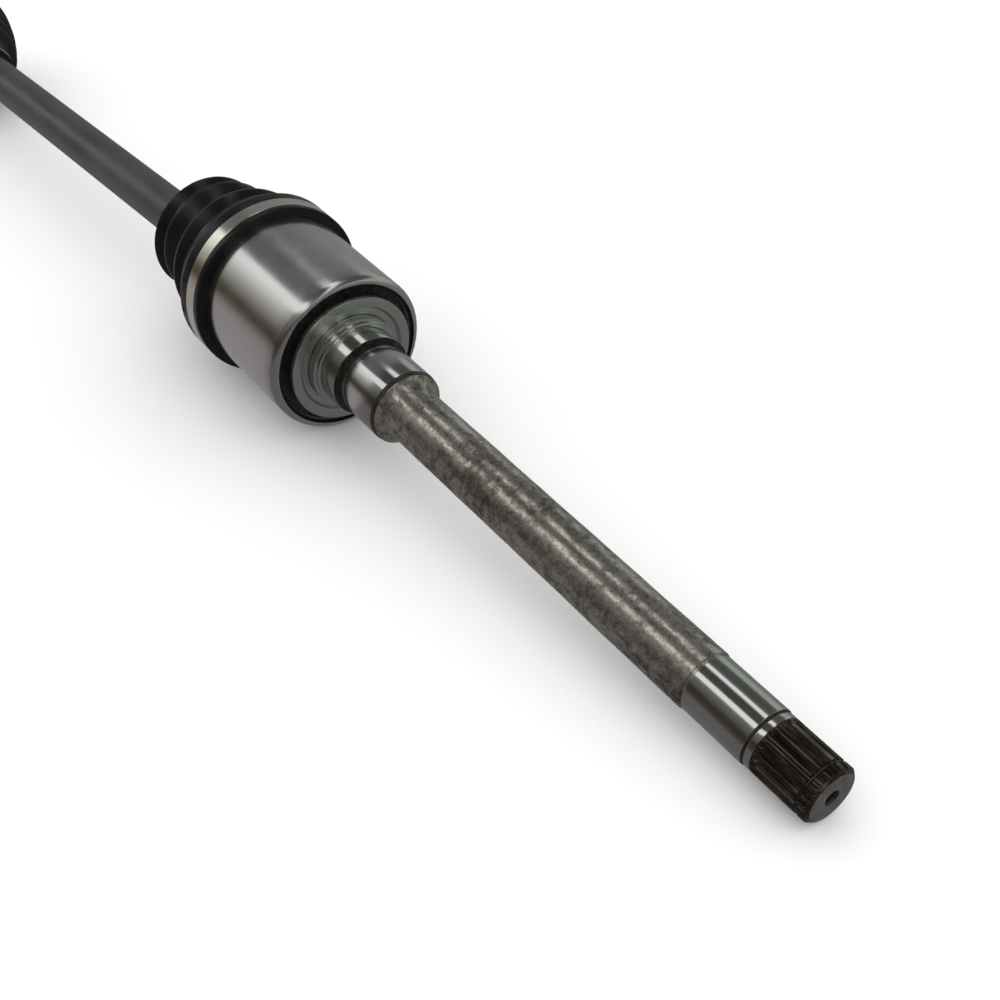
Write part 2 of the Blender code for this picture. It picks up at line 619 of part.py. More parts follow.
# How the axle lies: the can's edge and the splined end both touch the surface
FLAT = math.cos(math.pi / SIDES)      # a flat's distance from the axis, for a corner at 1
PLAIN_FLAT = math.cos(math.pi / PLAIN_SIDES)
STUB_TOUCH = 1.6                      # the stub touches down behind its end chamfer
CAN_TOUCH = CAN_FRONT + CAN_LIP_R     # the can touches down where its lip ends
TIP_TOUCH_R = SPLINE_TIP_R
STUB_PITCH = math.atan((CAN_R * FLAT - TIP_TOUCH_R) / (CAN_TOUCH - STUB_TOUCH))
CENTRE_HEIGHT = TIP_TOUCH_R * math.cos(STUB_PITCH) + (STUB_REACH - STUB_TOUCH) * math.sin(STUB_PITCH)
BAR_PITCH = math.asin((CENTRE_HEIGHT - BELL_R * FLAT) / BAR_SPAN)
REACH_TO_SPLINED_END = STUB_REACH * math.cos(STUB_PITCH) + SPLINE_END_FACE_R * math.sin(STUB_PITCH)
REACH_TO_WHEEL_END = (BAR_SPAN + WHEEL_STUB_END) * math.cos(BAR_PITCH)
CENTRE_X = (REACH_TO_WHEEL_END - REACH_TO_SPLINED_END) / 2

STEEL = {
    "forged": ((0.17, 0.155, 0.14), 0.5, 0.9),
    "ground": ((0.52, 0.51, 0.5), 0.18, 1.0),
    "zinc": ((0.6, 0.6, 0.58), 0.24, 1.0),
    "band": ((0.72, 0.68, 0.58), 0.2, 1.0),
    "painted": ((0.035, 0.036, 0.035), 0.45, 0.3),
    "spring": ((0.03, 0.03, 0.03), 0.35, 0.8),
    "bearing": ((0.62, 0.62, 0.62), 0.12, 1.0),
}
RUBBER = ((0.012, 0.012, 0.013), 0.38, 0.0)

for old in list(bpy.data.objects):
    bpy.data.objects.remove(old, do_unlink=True)


# ---------------------------------------------------------------- helpers

def finish(name, look):
    """A material of its own for one piece."""
    colour, roughness, metallic = look
    material = bpy.data.materials.new(name + "_finish")
    material.use_nodes = True
    shader = material.node_tree.nodes["Principled BSDF"]
    shader.inputs["Base Color"].default_value = (*colour, 1.0)
    shader.inputs["Roughness"].default_value = roughness
    shader.inputs["Metallic"].default_value = metallic
    return material


def piece(name, mesh, look, parent, location=(0, 0, 0), rotation=(0, 0, 0)):
    """Put a mesh on an axis as a named piece."""
    obj = bpy.data.objects.new(name, mesh)
    bpy.context.scene.collection.objects.link(obj)
    obj.parent = parent
    obj.location = Vector(location) * MM
    obj.rotation_euler = rotation
    if not mesh.materials:
        mesh.materials.append(finish(name, look))
    mesh.shade_smooth()
    mesh.set_sharp_from_angle(angle=math.radians(32))
    return obj


def mesh_from(bm, name):
    """Close a bmesh off into a mesh with its faces outwards."""
    bmesh.ops.recalc_face_normals(bm, faces=bm.faces)
    mesh = bpy.data.meshes.new(name)
    bm.to_mesh(mesh)
    bm.free()
    return mesh


def spun(bm, outline, sides):
    """Spin an outline of (x, radius) points about X, with a flat downwards."""
    closed = outline[0][1] > 0
    start = Matrix.Rotation(math.pi / sides, 3, 'X')
    verts = [bm.verts.new(start @ Vector((x, 0, -r)) * MM) for x, r in outline]
    pairs = zip(verts, verts[1:] + (verts[:1] if closed else []))
    edges = [bm.edges.new(pair) for pair in pairs]
    bmesh.ops.spin(bm, geom=verts + edges, cent=(0, 0, 0), axis=(1, 0, 0), angle=2 * math.pi,
                   steps=sides, use_merge=True)
    bmesh.ops.remove_doubles(bm, verts=bm.verts, dist=1e-7)


def turned(name, outline, sides):
    """A full turned solid or ring."""
    bm = bmesh.new()
    spun(bm, outline, sides)
    return mesh_from(bm, name)


def bore_over(radius, sides=PLAIN_SIDES):
    """Corner radius of a faceted bore whose flats clear a round of this radius."""
    return (radius + GAP) / math.cos(math.pi / sides)


def ring(inner_r, outer_r, start, end):
    """The outline of a plain ring."""
    return [(start, outer_r), (end, outer_r), (end, inner_r), (start, inner_r)]


def arc(centre, radius, first, last, steps):
    """Points on an arc in the outline's plane, angles in degrees from +x."""
    points = []
    for i in range(steps + 1):
        angle = math.radians(first + (last - first) * i / steps)
        points.append((centre[0] + radius * math.cos(angle), centre[1] + radius * math.sin(angle)))
    return points


def lofted(name, rings):
    """A solid skinned over closed rings of points, with its two ends capped."""
    bm = bmesh.new()
    levels = [[bm.verts.new(Vector(point) * MM) for point in points] for points in rings]
    for low, high in zip(levels, levels[1:]):
        for i in range(len(low)):
            j = (i + 1) % len(low)
            bm.faces.new((low[i], low[j], high[j], high[i]))
    bm.faces.new(levels[0])
    bm.faces.new(levels[-1])
    return mesh_from(bm, name)


def extruded(name, loop, start, end):
    """A prism along X from a loop of (y, z) points."""
    return lofted(name, [[(x, y, z) for y, z in loop] for x in (start, end)])


def toothed_loop(tip_r, depth, teeth):
    """Round a splined section: flat-topped teeth with sloping sides."""
    pitch = 2 * math.pi / teeth
    loop = []
    for i in range(teeth):
        for share, radius in ((-0.38, tip_r - depth), (-0.2, tip_r), (0.2, tip_r), (0.38, tip_r - depth)):
            angle = (i + 0.5 + share) * pitch
            loop.append((radius * math.sin(angle), -radius * math.cos(angle)))
    return loop


def axis_empty(name, location, pitch, parent=None):
    """An empty whose X axis is the axis of the pieces it carries."""
    empty = bpy.data.objects.new(name, None)
    bpy.context.scene.collection.objects.link(empty)
    empty.parent = parent
    empty.location = Vector(location) * MM
    empty.rotation_euler = (0, pitch, 0)
    return empty


def combine(target, tool_mesh, operation, location=(0, 0, 0), rotation=(0, 0, 0)):
    """Join a shape to a piece or cut it away; the tool stays as a hidden guide."""
    tool = bpy.data.objects.new(target.name + "_tool", tool_mesh)
    bpy.context.scene.collection.objects.link(tool)
    tool.parent = target.parent
    tool.location = Vector(location) * MM
    tool.rotation_euler = rotation
    tool.hide_render = True
    tool.display_type = 'WIRE'
    modifier = target.modifiers.new(operation.lower(), 'BOOLEAN')
    modifier.operation = operation
    modifier.solver = 'EXACT'
    modifier.object = tool


def snap_ring(name, inner_r, outer_r, width, at, parent):
    """An open ring, sprung into a groove; its gap is at the bottom."""
    gap = math.radians(15)
    section = ring(inner_r, outer_r, at - width / 2, at + width / 2)
    rings = []
    for i in range(SMALL_SIDES + 1):
        angle = gap + (2 * math.pi - 2 * gap) * i / SMALL_SIDES
        rings.append([(x, -r * math.sin(angle), -r * math.cos(angle)) for x, r in section])
    piece(name, lofted(name, rings), STEEL["spring"], parent)


def band(name, inner_r, thickness, start, width, ear_height, parent):
    """A steel band with the crimped ear that tightens it, low on the +Y side."""
    outer_r = inner_r + thickness
    clamp = piece(name, turned(name, ring(inner_r, outer_r, start, start + width), PLAIN_SIDES),
                  STEEL["band"], parent)
    root = inner_r + thickness / 2
    foot, crown = 5.0, 3.4
    loop = [(root, -foot), (outer_r + ear_height, -crown), (outer_r + ear_height, crown), (root, foot)]
    inset = width * 0.06
    ear = extruded(name + "_ear", loop, start + inset, start + width - inset)
    combine(clamp, ear, 'UNION', rotation=(-math.radians(52.5), 0, 0))


def from_end(distance):
    """Local x of a point on the long stub, given its distance from the splined end."""
    return STUB_REACH - distance


# ---------------------------------------------------------------- axes

inboard = axis_empty("inboard_axis", (CENTRE_X, 0, CENTRE_HEIGHT), STUB_PITCH)
bar_axis = axis_empty("bar_axis", (CENTRE_X, 0, CENTRE_HEIGHT), -BAR_PITCH)
outboard = axis_empty("outboard_axis", (-BAR_SPAN, 0, 0), 0.0, bar_axis)


# ---------------------------------------------------------------- long stub with its tulip

def tulip_shaft():
    root_r = SPLINE_TIP_R - SPLINE_DEPTH
    core_r = root_r - 0.1
    groove_end = CLIP_GROOVE_AT + CLIP_GROOVE_WIDTH
    tulip_front = CAN_FRONT + CAN_DISH + CAN_WALL + GAP
    tulip_r = CAN_R - CAN_WALL - GAP
    disc_back = DISC_FACE + DISC_THICKNESS + GAP
    flare = arc((HUB_START - 2.5 - FLARE_R, SHAFT_R + FLARE_R), FLARE_R, -90, -18, 3)
    outline = [
        (CENTRE_HOLE_DEPTH, 0), (0, CENTRE_HOLE_R), (0, SPLINE_END_FACE_R), (STUB_TOUCH - 0.6, core_r),
        (CLIP_GROOVE_AT, core_r), (CLIP_GROOVE_AT, CLIP_GROOVE_R), (groove_end, CLIP_GROOVE_R),
        (groove_end, core_r), (SPLINE_LENGTH, core_r), (SPLINE_LENGTH + 1.6, SPLINE_TIP_R),
        (LAND_START - 1.7, SPLINE_TIP_R), (LAND_START - 1.2, LAND_R - 0.8), (LAND_START - 0.5, LAND_R - 0.8),
        (LAND_START, LAND_R), (LAND_END, LAND_R), (LAND_END + 0.3, LAND_R - 0.6),
        (LAND_END + 1.3, LAND_R - 0.6), (LAND_END + 1.9, SHAFT_R), *flare,
        (HUB_START, BEARING_SEAT_R), (BEARING_SEAT_END, BEARING_SEAT_R),
        (BEARING_SEAT_END + 0.2, RELIEF_R), (SEAL_BAND_START, RELIEF_R),
        (SEAL_BAND_START + STEP, SEAL_BAND_R - 0.4), (SEAL_BAND_START + 0.5, SEAL_BAND_R),
        (SEAL_BAND_END, SEAL_BAND_R), (SEAL_BAND_END + 0.4, SEAT_COLLAR_R),
        (DISC_FACE - 3.4, SEAT_COLLAR_R), (DISC_FACE - 3.3, DISC_SEAT_R),
        (disc_back, DISC_SEAT_R), (disc_back + STEP, CAN_FLANGE_INNER_R - GAP),
        (tulip_front, CAN_FLANGE_INNER_R - GAP), (tulip_front + STEP, tulip_r - CAN_LIP_R + CAN_WALL),
        (tulip_front + CAN_LIP_R - 1.0, tulip_r), (tulip_front + CUP_FLOOR + CUP_DEPTH, tulip_r),
        (tulip_front + CUP_FLOOR + CUP_DEPTH + STEP, 0),
    ]
    shaft = piece("tulip_shaft", turned("tulip_shaft", [(from_end(s), r) for s, r in outline], PLAIN_SIDES),
                  STEEL["forged"], inboard)
    teeth = toothed_loop(SPLINE_TIP_R, SPLINE_DEPTH, SPLINE_TEETH)
    combine(shaft, extruded("front_teeth", teeth, from_end(CLIP_GROOVE_AT), from_end(STUB_TOUCH)), 'UNION')
    combine(shaft, extruded("teeth", teeth, from_end(SPLINE_LENGTH + 0.8), from_end(groove_end)), 'UNION')
    cup_floor = from_end(tulip_front + CUP_FLOOR)
    combine(shaft, extruded("tracks", track_loop(), cup_floor - CUP_DEPTH - 10.0, cup_floor), 'DIFFERENCE')
    cup_mouth = tulip_front + CUP_FLOOR + CUP_DEPTH - STUB_REACH
    way = [(0, 0), (0, bar_way(0)), (-cup_mouth - GAP, bar_way(cup_mouth + GAP)), (-cup_mouth - GAP, 0)]
    combine(shaft, turned("mouth", way, PLAIN_SIDES), 'DIFFERENCE')


def bar_way(at):
    """Radius of the tulip's flared mouth, which lets the bar swing when it is pushed all the way in."""
    swing = (at + MAX_PLUNGE) * math.tan(MAX_INBOARD_BEND)
    return (swing + BAR_NECK_R / math.cos(MAX_INBOARD_BEND) + GAP) / PLAIN_FLAT


def track_loop():
    """Round the tulip's hollow: three straight-sided tracks that meet in a round bore."""
    half = ROLLER_R + ROLLER_PLAY
    outer = ROLLER_PITCH_R + ROLLER_WIDTH / 2
    shoulder = (half, outer + 1.0)
    floor = (half / 2, outer + 4.5)
    mouth = math.asin(half / TULIP_BORE_R)
    side = [(half, TULIP_BORE_R * math.cos(mouth)), shoulder, floor]
    profile = [(-y, z) for y, z in side] + [(y, z) for y, z in reversed(side)]
    loop = []
    for k in range(3):
        turn = 2 * math.pi * k / 3
        for y, z in profile:
            loop.append((y * math.cos(turn) + z * math.sin(turn), -y * math.sin(turn) + z * math.cos(turn)))
        middle = turn + math.pi / 3
        loop.append((TULIP_BORE_R * math.sin(middle), TULIP_BORE_R * math.cos(middle)))
    return loop


def joint_can():
    lip = (CAN_FRONT + CAN_LIP_R, CAN_R - CAN_LIP_R)
    flange = CAN_FRONT + CAN_DISH + CAN_WALL
    outside = arc(lip, CAN_LIP_R, 180, 90, 4)
    inside = arc(lip, CAN_LIP_R - CAN_WALL, 90, 180, 3)
    outline = [(flange - CAN_WALL, CAN_FLANGE_INNER_R), (flange - CAN_WALL, CAN_NECK_R), *outside,
               (CAN_MOUTH, CAN_R), (CAN_MOUTH, CAN_R - CAN_WALL), *inside[:-1],
               (flange, CAN_NECK_R + 0.5), (flange, CAN_FLANGE_INNER_R)]
    piece("joint_can", turned("joint_can", [(from_end(s), r) for s, r in outline], SIDES),
          STEEL["zinc"], inboard)


def end_disc():
    inner = bore_over(DISC_SEAT_R)
    back = DISC_FACE + DISC_THICKNESS
    dish = DISC_FACE + DISC_DISH
    outline = [(dish, inner), (dish, DISC_R - DISC_RIM - 1.5), (DISC_FACE, DISC_R - DISC_RIM),
               (DISC_FACE, DISC_R - 0.5), (DISC_FACE + 0.5, DISC_R), (back, DISC_R), (back, inner)]
    piece("end_disc", turned("end_disc", [(from_end(s), r) for s, r in outline], PLAIN_SIDES),
          STEEL["zinc"], inboard)


tulip_shaft()
joint_can()
end_disc()
snap_ring("spline_clip", CLIP_GROOVE_R + GAP, SPLINE_TIP_R - 0.2, CLIP_GROOVE_WIDTH - 2 * GAP,
          from_end(CLIP_GROOVE_AT + CLIP_GROOVE_WIDTH / 2), inboard)


# ---------------------------------------------------------------- bar, spider and rollers

def axle_bar():
    shoulder = SPIDER_HALF_LENGTH + GAP
    race_shoulder = RACE_HALF_WIDTH + GAP
    groove_r = BAR_SPLINE_R - 1.2
    way_out = INBOARD_MOUTH + MAX_PLUNGE + BAR_R * math.sin(MAX_INBOARD_BEND)
    neck_end = way_out / math.cos(MAX_INBOARD_BEND)

    def end(side, origin, edge, neck_r):
        """Shoulder, spline seat, clip groove and tip at one end, from the bar outwards."""
        near = [(-edge - 5.0, neck_r), (-edge, BAR_SPLINE_R + 0.2), (-edge + STEP, BAR_SPLINE_R)]
        far = [(edge, BAR_SPLINE_R), (edge, groove_r), (edge + CLIP_WIDTH + GAP, groove_r),
               (edge + CLIP_WIDTH + GAP, BAR_SPLINE_R), (edge + BAR_END_OVERHANG - 1.0, BAR_SPLINE_R),
               (edge + BAR_END_OVERHANG, BAR_SPLINE_R - 1.0), (edge + BAR_END_OVERHANG, 0)]
        return [(origin + side * x, r) for x, r in near + far]

    neck = [(-neck_end, BAR_NECK_R), (-neck_end - 8.0, BAR_R)]
    outline = [*reversed(end(1, 0.0, shoulder, BAR_NECK_R)), *neck, *end(-1, -BAR_SPAN, race_shoulder, BAR_R)]
    piece("axle_bar", turned("axle_bar", outline, PLAIN_SIDES), STEEL["painted"], bar_axis)


def spider():
    """A hub with three round trunnions, each towards its own track."""
    half = SPIDER_HALF_LENGTH
    bore = bore_over(BAR_SPLINE_R)
    outline = [(-half, bore), (-half, SPIDER_HUB_R - 2.0), (-half + 2.0, SPIDER_HUB_R),
               (half - 2.0, SPIDER_HUB_R), (half, SPIDER_HUB_R - 2.0), (half, bore)]
    hub = piece("spider", turned("spider", outline, PLAIN_SIDES), STEEL["bearing"], bar_axis)
    end = ROLLER_PITCH_R + ROLLER_WIDTH / 2 + 2.0
    groove = end - 1.6
    trunnion = [((bore + SPIDER_HUB_R) / 2, 0), ((bore + SPIDER_HUB_R) / 2 + STEP, TRUNNION_R + 1.2),
                (SPIDER_HUB_R + 0.6, TRUNNION_R + 1.2), (SPIDER_HUB_R + 1.2, TRUNNION_R),
                (groove, TRUNNION_R), (groove, TRUNNION_R - 0.8), (groove + 1.0, TRUNNION_R - 0.8),
                (groove + 1.0, TRUNNION_R), (end, TRUNNION_R), (end, 0)]
    for k in range(3):
        combine(hub, turned("trunnion", trunnion, SMALL_SIDES), 'UNION', rotation=trunnion_turn(k))


def trunnion_turn(k):
    """Euler angles that turn local X onto trunnion k, the first straight up."""
    spin = Matrix.Rotation(-2 * math.pi * k / 3, 4, 'X') @ Matrix.Rotation(-math.pi / 2, 4, 'Y')
    return spin.to_euler()


def rollers():
    """Each roller runs on a ring of needles and is kept on by a clip."""
    half = ROLLER_WIDTH / 2
    needle_inner = bore_over(TRUNNION_R, NEEDLE_COUNT * 2)
    needle_outer = needle_inner + NEEDLE_D
    inner = bore_over(needle_outer, SMALL_SIDES)
    crown = [(ROLLER_PITCH_R + x, math.sqrt(ROLLER_R ** 2 - x ** 2)) for x in (-half, 0.0, half)]
    outline = [(ROLLER_PITCH_R - half, inner), *crown, (ROLLER_PITCH_R + half, inner)]
    lobes = needle_loop(needle_inner, needle_outer)
    groove = ROLLER_PITCH_R + half + 0.4
    clip_bore = bore_over(TRUNNION_R - 0.8, SMALL_SIDES)
    for k in range(3):
        turn = trunnion_turn(k)
        tag = str(k + 1)
        piece("roller_" + tag, turned("roller", outline, SMALL_SIDES), STEEL["bearing"], bar_axis,
              rotation=turn)
        piece("needles_" + tag, needle_ring(lobes, half - 0.8), STEEL["bearing"], bar_axis, rotation=turn)
        piece("roller_clip_" + tag,
              turned("roller_clip", ring(clip_bore, TRUNNION_R + 1.6, groove + 0.15, groove + 0.85),
                     SMALL_SIDES), STEEL["spring"], bar_axis, rotation=turn)


def needle_loop(inner_r, outer_r):
    """The scalloped outside of a full ring of needles, with its round bore."""
    outside = []
    bore = []
    for i in range(NEEDLE_COUNT * 2):
        angle = math.pi * i / NEEDLE_COUNT
        radius = outer_r - (0.5 if i % 2 else 0.0)
        outside.append((radius * math.sin(angle), -radius * math.cos(angle)))
        bore.append((inner_r * math.sin(angle), -inner_r * math.cos(angle)))
    return outside, bore


def needle_ring(loops, half):
    bm = bmesh.new()
    levels = []
    for loop in loops:
        for x in (ROLLER_PITCH_R - half, ROLLER_PITCH_R + half):
            levels.append([bm.verts.new(Vector((x, y, z)) * MM) for y, z in loop])
    outer_low, outer_high, inner_low, inner_high = levels
    for low, high in ((outer_low, outer_high), (outer_high, inner_high),
                      (inner_high, inner_low), (inner_low, outer_low)):
        for i in range(len(low)):
            j = (i + 1) % len(low)
            bm.faces.new((low[i], low[j], high[j], high[i]))
    return mesh_from(bm, "needles")


axle_bar()
spider()
rollers()
snap_ring("spider_clip", BAR_SPLINE_R - 1.2 + GAP, BAR_SPLINE_R + 1.3, CLIP_WIDTH - GAP,
          SPIDER_HALF_LENGTH + GAP + (CLIP_WIDTH + GAP) / 2, bar_axis)
snap_ring("race_clip", BAR_SPLINE_R - 1.2 + GAP, BAR_SPLINE_R + 1.3, CLIP_WIDTH - GAP,
          -(RACE_HALF_WIDTH + GAP + (CLIP_WIDTH + GAP) / 2), outboard)


# ---------------------------------------------------------------- boots

CUFF_BORE = bore_over(BAR_R)
CUFF_R = CUFF_BORE + CUFF_WALL

def boot_outline(lip, seat_r, bead_r, band_start, folds, cuff_start):
    """The two sides of a rubber boot's wall as (distance, radius) points."""
    band_r = (bead_r - BAND_THICKNESS) * PLAIN_FLAT
    band_end = band_start + BAND_WIDTH
    folds_start = band_end + FOLDS_CLEAR_OF_BAND
    outer = [(lip, seat_r + 1.0), (lip + 0.8, bead_r), (band_start - GAP, bead_r),
             (band_start - GAP, band_r - GAP), (band_end + GAP, band_r - GAP),
             (band_end + GAP, bead_r), (band_end + BOOT_BEAD_WIDTH, bead_r)]
    wave = [(folds_start + along * (cuff_start - folds_start), CUFF_R + up * (bead_r - CUFF_R))
            for fold in folds for along, up in fold]
    outer += wave + [(cuff_start, CUFF_R), (cuff_start + CUFF_LENGTH, CUFF_R)]
    inner = [(cuff_start + CUFF_LENGTH, CUFF_BORE), (cuff_start, CUFF_BORE)]
    inner += [(at, r - BOOT_WALL) for at, r in reversed(wave)]
    return outer, inner


def bend_to_bar(bm, start, end, angle):
    """Swing a boot's rings about the joint's centre, none before start and all of it past end."""
    for vert in bm.verts:
        share = min(max((-vert.co.x / MM - start) / (end - start), 0.0), 1.0)
        vert.co = Matrix.Rotation(angle * share ** BEND_LATENESS, 3, 'Y') @ vert.co


INBOARD_LIP = CAN_MOUTH - STUB_REACH - BOOT_GRIP
INBOARD_BAND = INBOARD_LIP + LIP_TO_BAND
INBOARD_CUFF = CAN_MOUTH - STUB_REACH + BOOT_REACH
# Crest and valley of each fold, as shares of the way to the cuff and of the height above it
INBOARD_FOLDS = [((0.055, 0.994), (0.167, 0.815)), ((0.267, 0.895), (0.367, 0.692)),
                 ((0.456, 0.754), (0.55, 0.563)), ((0.633, 0.631), (0.722, 0.44)),
                 ((0.806, 0.501), (0.911, 0.196))]
INBOARD_BEND = -(STUB_PITCH + BAR_PITCH)


def inboard_boot():
    seat_r = bore_over(CAN_R)
    outer, inner = boot_outline(INBOARD_LIP, seat_r, BOOT_BEAD_R, INBOARD_BAND, INBOARD_FOLDS, INBOARD_CUFF)
    inner += [(INBOARD_MOUTH, CAN_R - BOOT_STOP), (INBOARD_MOUTH, seat_r), (INBOARD_LIP, seat_r)]
    bm = bmesh.new()
    spun(bm, [(-at, r) for at, r in outer + inner], PLAIN_SIDES)
    bend_to_bar(bm, INBOARD_MOUTH, INBOARD_CUFF, INBOARD_BEND)
    piece("inboard_boot", mesh_from(bm, "inboard_boot"), RUBBER, inboard)
    band("inboard_large_band", BOOT_BEAD_R - BAND_THICKNESS, BAND_THICKNESS,
         -INBOARD_BAND - BAND_WIDTH, BAND_WIDTH, 3.6, inboard)
    small_start = INBOARD_CUFF + (CUFF_LENGTH - SMALL_BAND_WIDTH) / 2
    band("inboard_small_band", bore_over(CUFF_R), SMALL_BAND_THICKNESS,
         -small_start - SMALL_BAND_WIDTH, SMALL_BAND_WIDTH, 3.0, bar_axis)


OUTBOARD_LIP = BELL_MOUTH - 19.0
OUTBOARD_BAND = OUTBOARD_LIP + 4.6
OUTBOARD_CUFF = BELL_MOUTH + 74.0
OUTBOARD_BEAD_R = BELL_SEAT_R + 4.2
OUTBOARD_FOLDS = [((0.097, 0.973), (0.212, 0.649)), ((0.327, 0.828), (0.434, 0.498)),
                  ((0.542, 0.656), (0.642, 0.36)), ((0.742, 0.477), (0.85, 0.154))]


def outboard_boot():
    seat_r = bore_over(BELL_SEAT_R)
    outer, inner = boot_outline(OUTBOARD_LIP, seat_r, OUTBOARD_BEAD_R, OUTBOARD_BAND, OUTBOARD_FOLDS,
                                OUTBOARD_CUFF)
    inner += [(OUTBOARD_MOUTH, BELL_SEAT_R - BOOT_STOP), (OUTBOARD_MOUTH, seat_r), (OUTBOARD_LIP, seat_r)]
    piece("outboard_boot", turned("outboard_boot", outer + inner, PLAIN_SIDES), RUBBER, outboard)
    band("outboard_large_band", OUTBOARD_BEAD_R - BAND_THICKNESS, BAND_THICKNESS, OUTBOARD_BAND,
         BAND_WIDTH, 3.6, outboard)
    small_start = OUTBOARD_CUFF + (CUFF_LENGTH - SMALL_BAND_WIDTH) / 2
    band("outboard_small_band", bore_over(CUFF_R), SMALL_BAND_THICKNESS,
         small_start, SMALL_BAND_WIDTH, 3.0, outboard)


inboard_boot()
outboard_boot()


# ---------------------------------------------------------------- ball joint at the wheel

def ball_track(reach):
    """The space a ball sweeps on its way along its track: a bent rod about the joint's centre."""
    radius = BALL_R + BALL_PLAY
    facets = 12
    bends = 10
    rings = []
    for i in range(bends + 1):
        swing = Matrix.Rotation(reach * (2 * i / bends - 1), 3, 'Y')
        around = [2 * math.pi * (j + 0.5) / facets for j in range(facets)]
        rings.append([swing @ Vector((0, radius * math.cos(a), BALL_PITCH_R + radius * math.sin(a)))
                      for a in around])
    return lofted("ball_track", rings)


def cut_tracks(target):
    reach = MAX_WHEEL_BEND / 2 + math.asin((BALL_R + 1.0) / BALL_PITCH_R)
    for k in range(BALL_COUNT):
        combine(target, ball_track(reach), 'DIFFERENCE', rotation=(2 * math.pi * k / BALL_COUNT, 0, 0))


def inner_race():
    edge_r = math.sqrt(RACE_R ** 2 - RACE_HALF_WIDTH ** 2)
    edge = math.degrees(math.acos(RACE_HALF_WIDTH / RACE_R))
    bore = bore_over(BAR_SPLINE_R)
    outline = [(RACE_HALF_WIDTH, bore), (RACE_HALF_WIDTH, edge_r), *arc((0, 0), RACE_R, edge, 180 - edge, 4)[1:-1],
               (-RACE_HALF_WIDTH, edge_r), (-RACE_HALF_WIDTH, bore)]
    race = piece("inner_race", turned("inner_race", outline, PLAIN_SIDES), STEEL["bearing"], outboard)
    cut_tracks(race)


def ball_cage():
    outer = math.degrees(math.acos(CAGE_HALF_WIDTH / CAGE_OUTER_R))
    inner = math.degrees(math.acos(CAGE_HALF_WIDTH / CAGE_INNER_R))
    outline = arc((0, 0), CAGE_OUTER_R, outer, 180 - outer, 4) + arc((0, 0), CAGE_INNER_R, 180 - inner, inner, 4)
    cage = piece("ball_cage", turned("ball_cage", outline, PLAIN_SIDES), STEEL["bearing"], outboard)
    along = BALL_R + GAP
    across = BALL_R + 1.4
    corner = 4.0
    window = []
    for sx, sy in ((1, 1), (-1, 1), (-1, -1), (1, -1)):
        ends = [(sx * along, sy * (across - corner)), (sx * (along - corner), sy * across)]
        window += ends if sx * sy > 0 else reversed(ends)
    heights = (CAGE_INNER_R - 6.0, CAGE_OUTER_R + 4.0)
    for k in range(BALL_COUNT):
        combine(cage, lofted("window", [[(x, y, z) for x, y in window] for z in heights]), 'DIFFERENCE',
                rotation=(2 * math.pi * k / BALL_COUNT, 0, 0))


def balls():
    for k in range(BALL_COUNT):
        bm = bmesh.new()
        bmesh.ops.create_uvsphere(bm, u_segments=12, v_segments=7, radius=BALL_R * MM)
        angle = 2 * math.pi * k / BALL_COUNT
        at = (0, -BALL_PITCH_R * math.sin(angle), BALL_PITCH_R * math.cos(angle))
        piece("ball_" + str(k + 1), mesh_from(bm, "ball"), STEEL["bearing"], outboard, location=at)


def wheel_bell():
    """The outer race, a bell with the wheel's splined and threaded stub."""
    mouth_r = BELL_SEAT_R - 0.6
    bar_way = BELL_MOUTH + BAR_R / math.cos(MAX_WHEEL_BEND) + 1.0
    chamfer_at = 9.0
    first = math.degrees(math.acos(chamfer_at / BELL_BORE_R))
    last = math.degrees(math.acos(-BELL_FLOOR / BELL_BORE_R))
    root_r = WHEEL_SPLINE_R - SPLINE_DEPTH
    spline_start = HUB_SHOULDER + 4.5
    outline = [
        (-BELL_FLOOR, 0), *reversed(arc((0, 0), BELL_BORE_R, first, last, 6)), (BELL_MOUTH, bar_way),
        (BELL_MOUTH, mouth_r), (BELL_MOUTH - 0.6, BELL_SEAT_R), (-3.0, BELL_SEAT_R), (-4.0, BELL_R - 0.8),
        (-4.8, BELL_R), (-BELL_BODY_END, BELL_R), (-BELL_BODY_END - 2.0, BELL_R - 2.0),
        (-HUB_SHOULDER + 3.0, HUB_SHOULDER_R + 2.0), (-HUB_SHOULDER, HUB_SHOULDER_R),
        (-HUB_SHOULDER - STEP, HUB_PILOT_R), (-HUB_SHOULDER - 3.0, HUB_PILOT_R), (-spline_start, root_r - 0.1),
        (-WHEEL_SPLINE_END, root_r - 0.1), (-WHEEL_SPLINE_END - 0.6, THREAD_R),
        (-WHEEL_STUB_END + 1.2, THREAD_R), (-WHEEL_STUB_END, THREAD_R - 1.2),
        (-WHEEL_STUB_END, CENTRE_HOLE_R), (-WHEEL_STUB_END + CENTRE_HOLE_DEPTH, 0),
    ]
    bell = piece("wheel_bell", turned("wheel_bell", outline, SIDES), STEEL["forged"], outboard)
    teeth = toothed_loop(WHEEL_SPLINE_R, SPLINE_DEPTH, WHEEL_SPLINE_TEETH)
    combine(bell, extruded("wheel_teeth", teeth, -WHEEL_SPLINE_END + 1.0, -spline_start + 1.0), 'UNION')
    cut_tracks(bell)


inner_race()
ball_cage()
balls()
wheel_bell()
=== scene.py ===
# %% [markdown]
# # A drive axle, dressed piece by piece
# The moving model of the axle is already packed as a fixed frame.
# This lesson builds the fine surfaces round it: turned steel, zinc, rubber and paint.
# Nearly every piece of an axle is turned in a lathe, so one good lathe function goes a long way.

# %% Load the frame
import json
import math

import bpy
import numpy as np
from mathutils import Matrix, Vector, noise


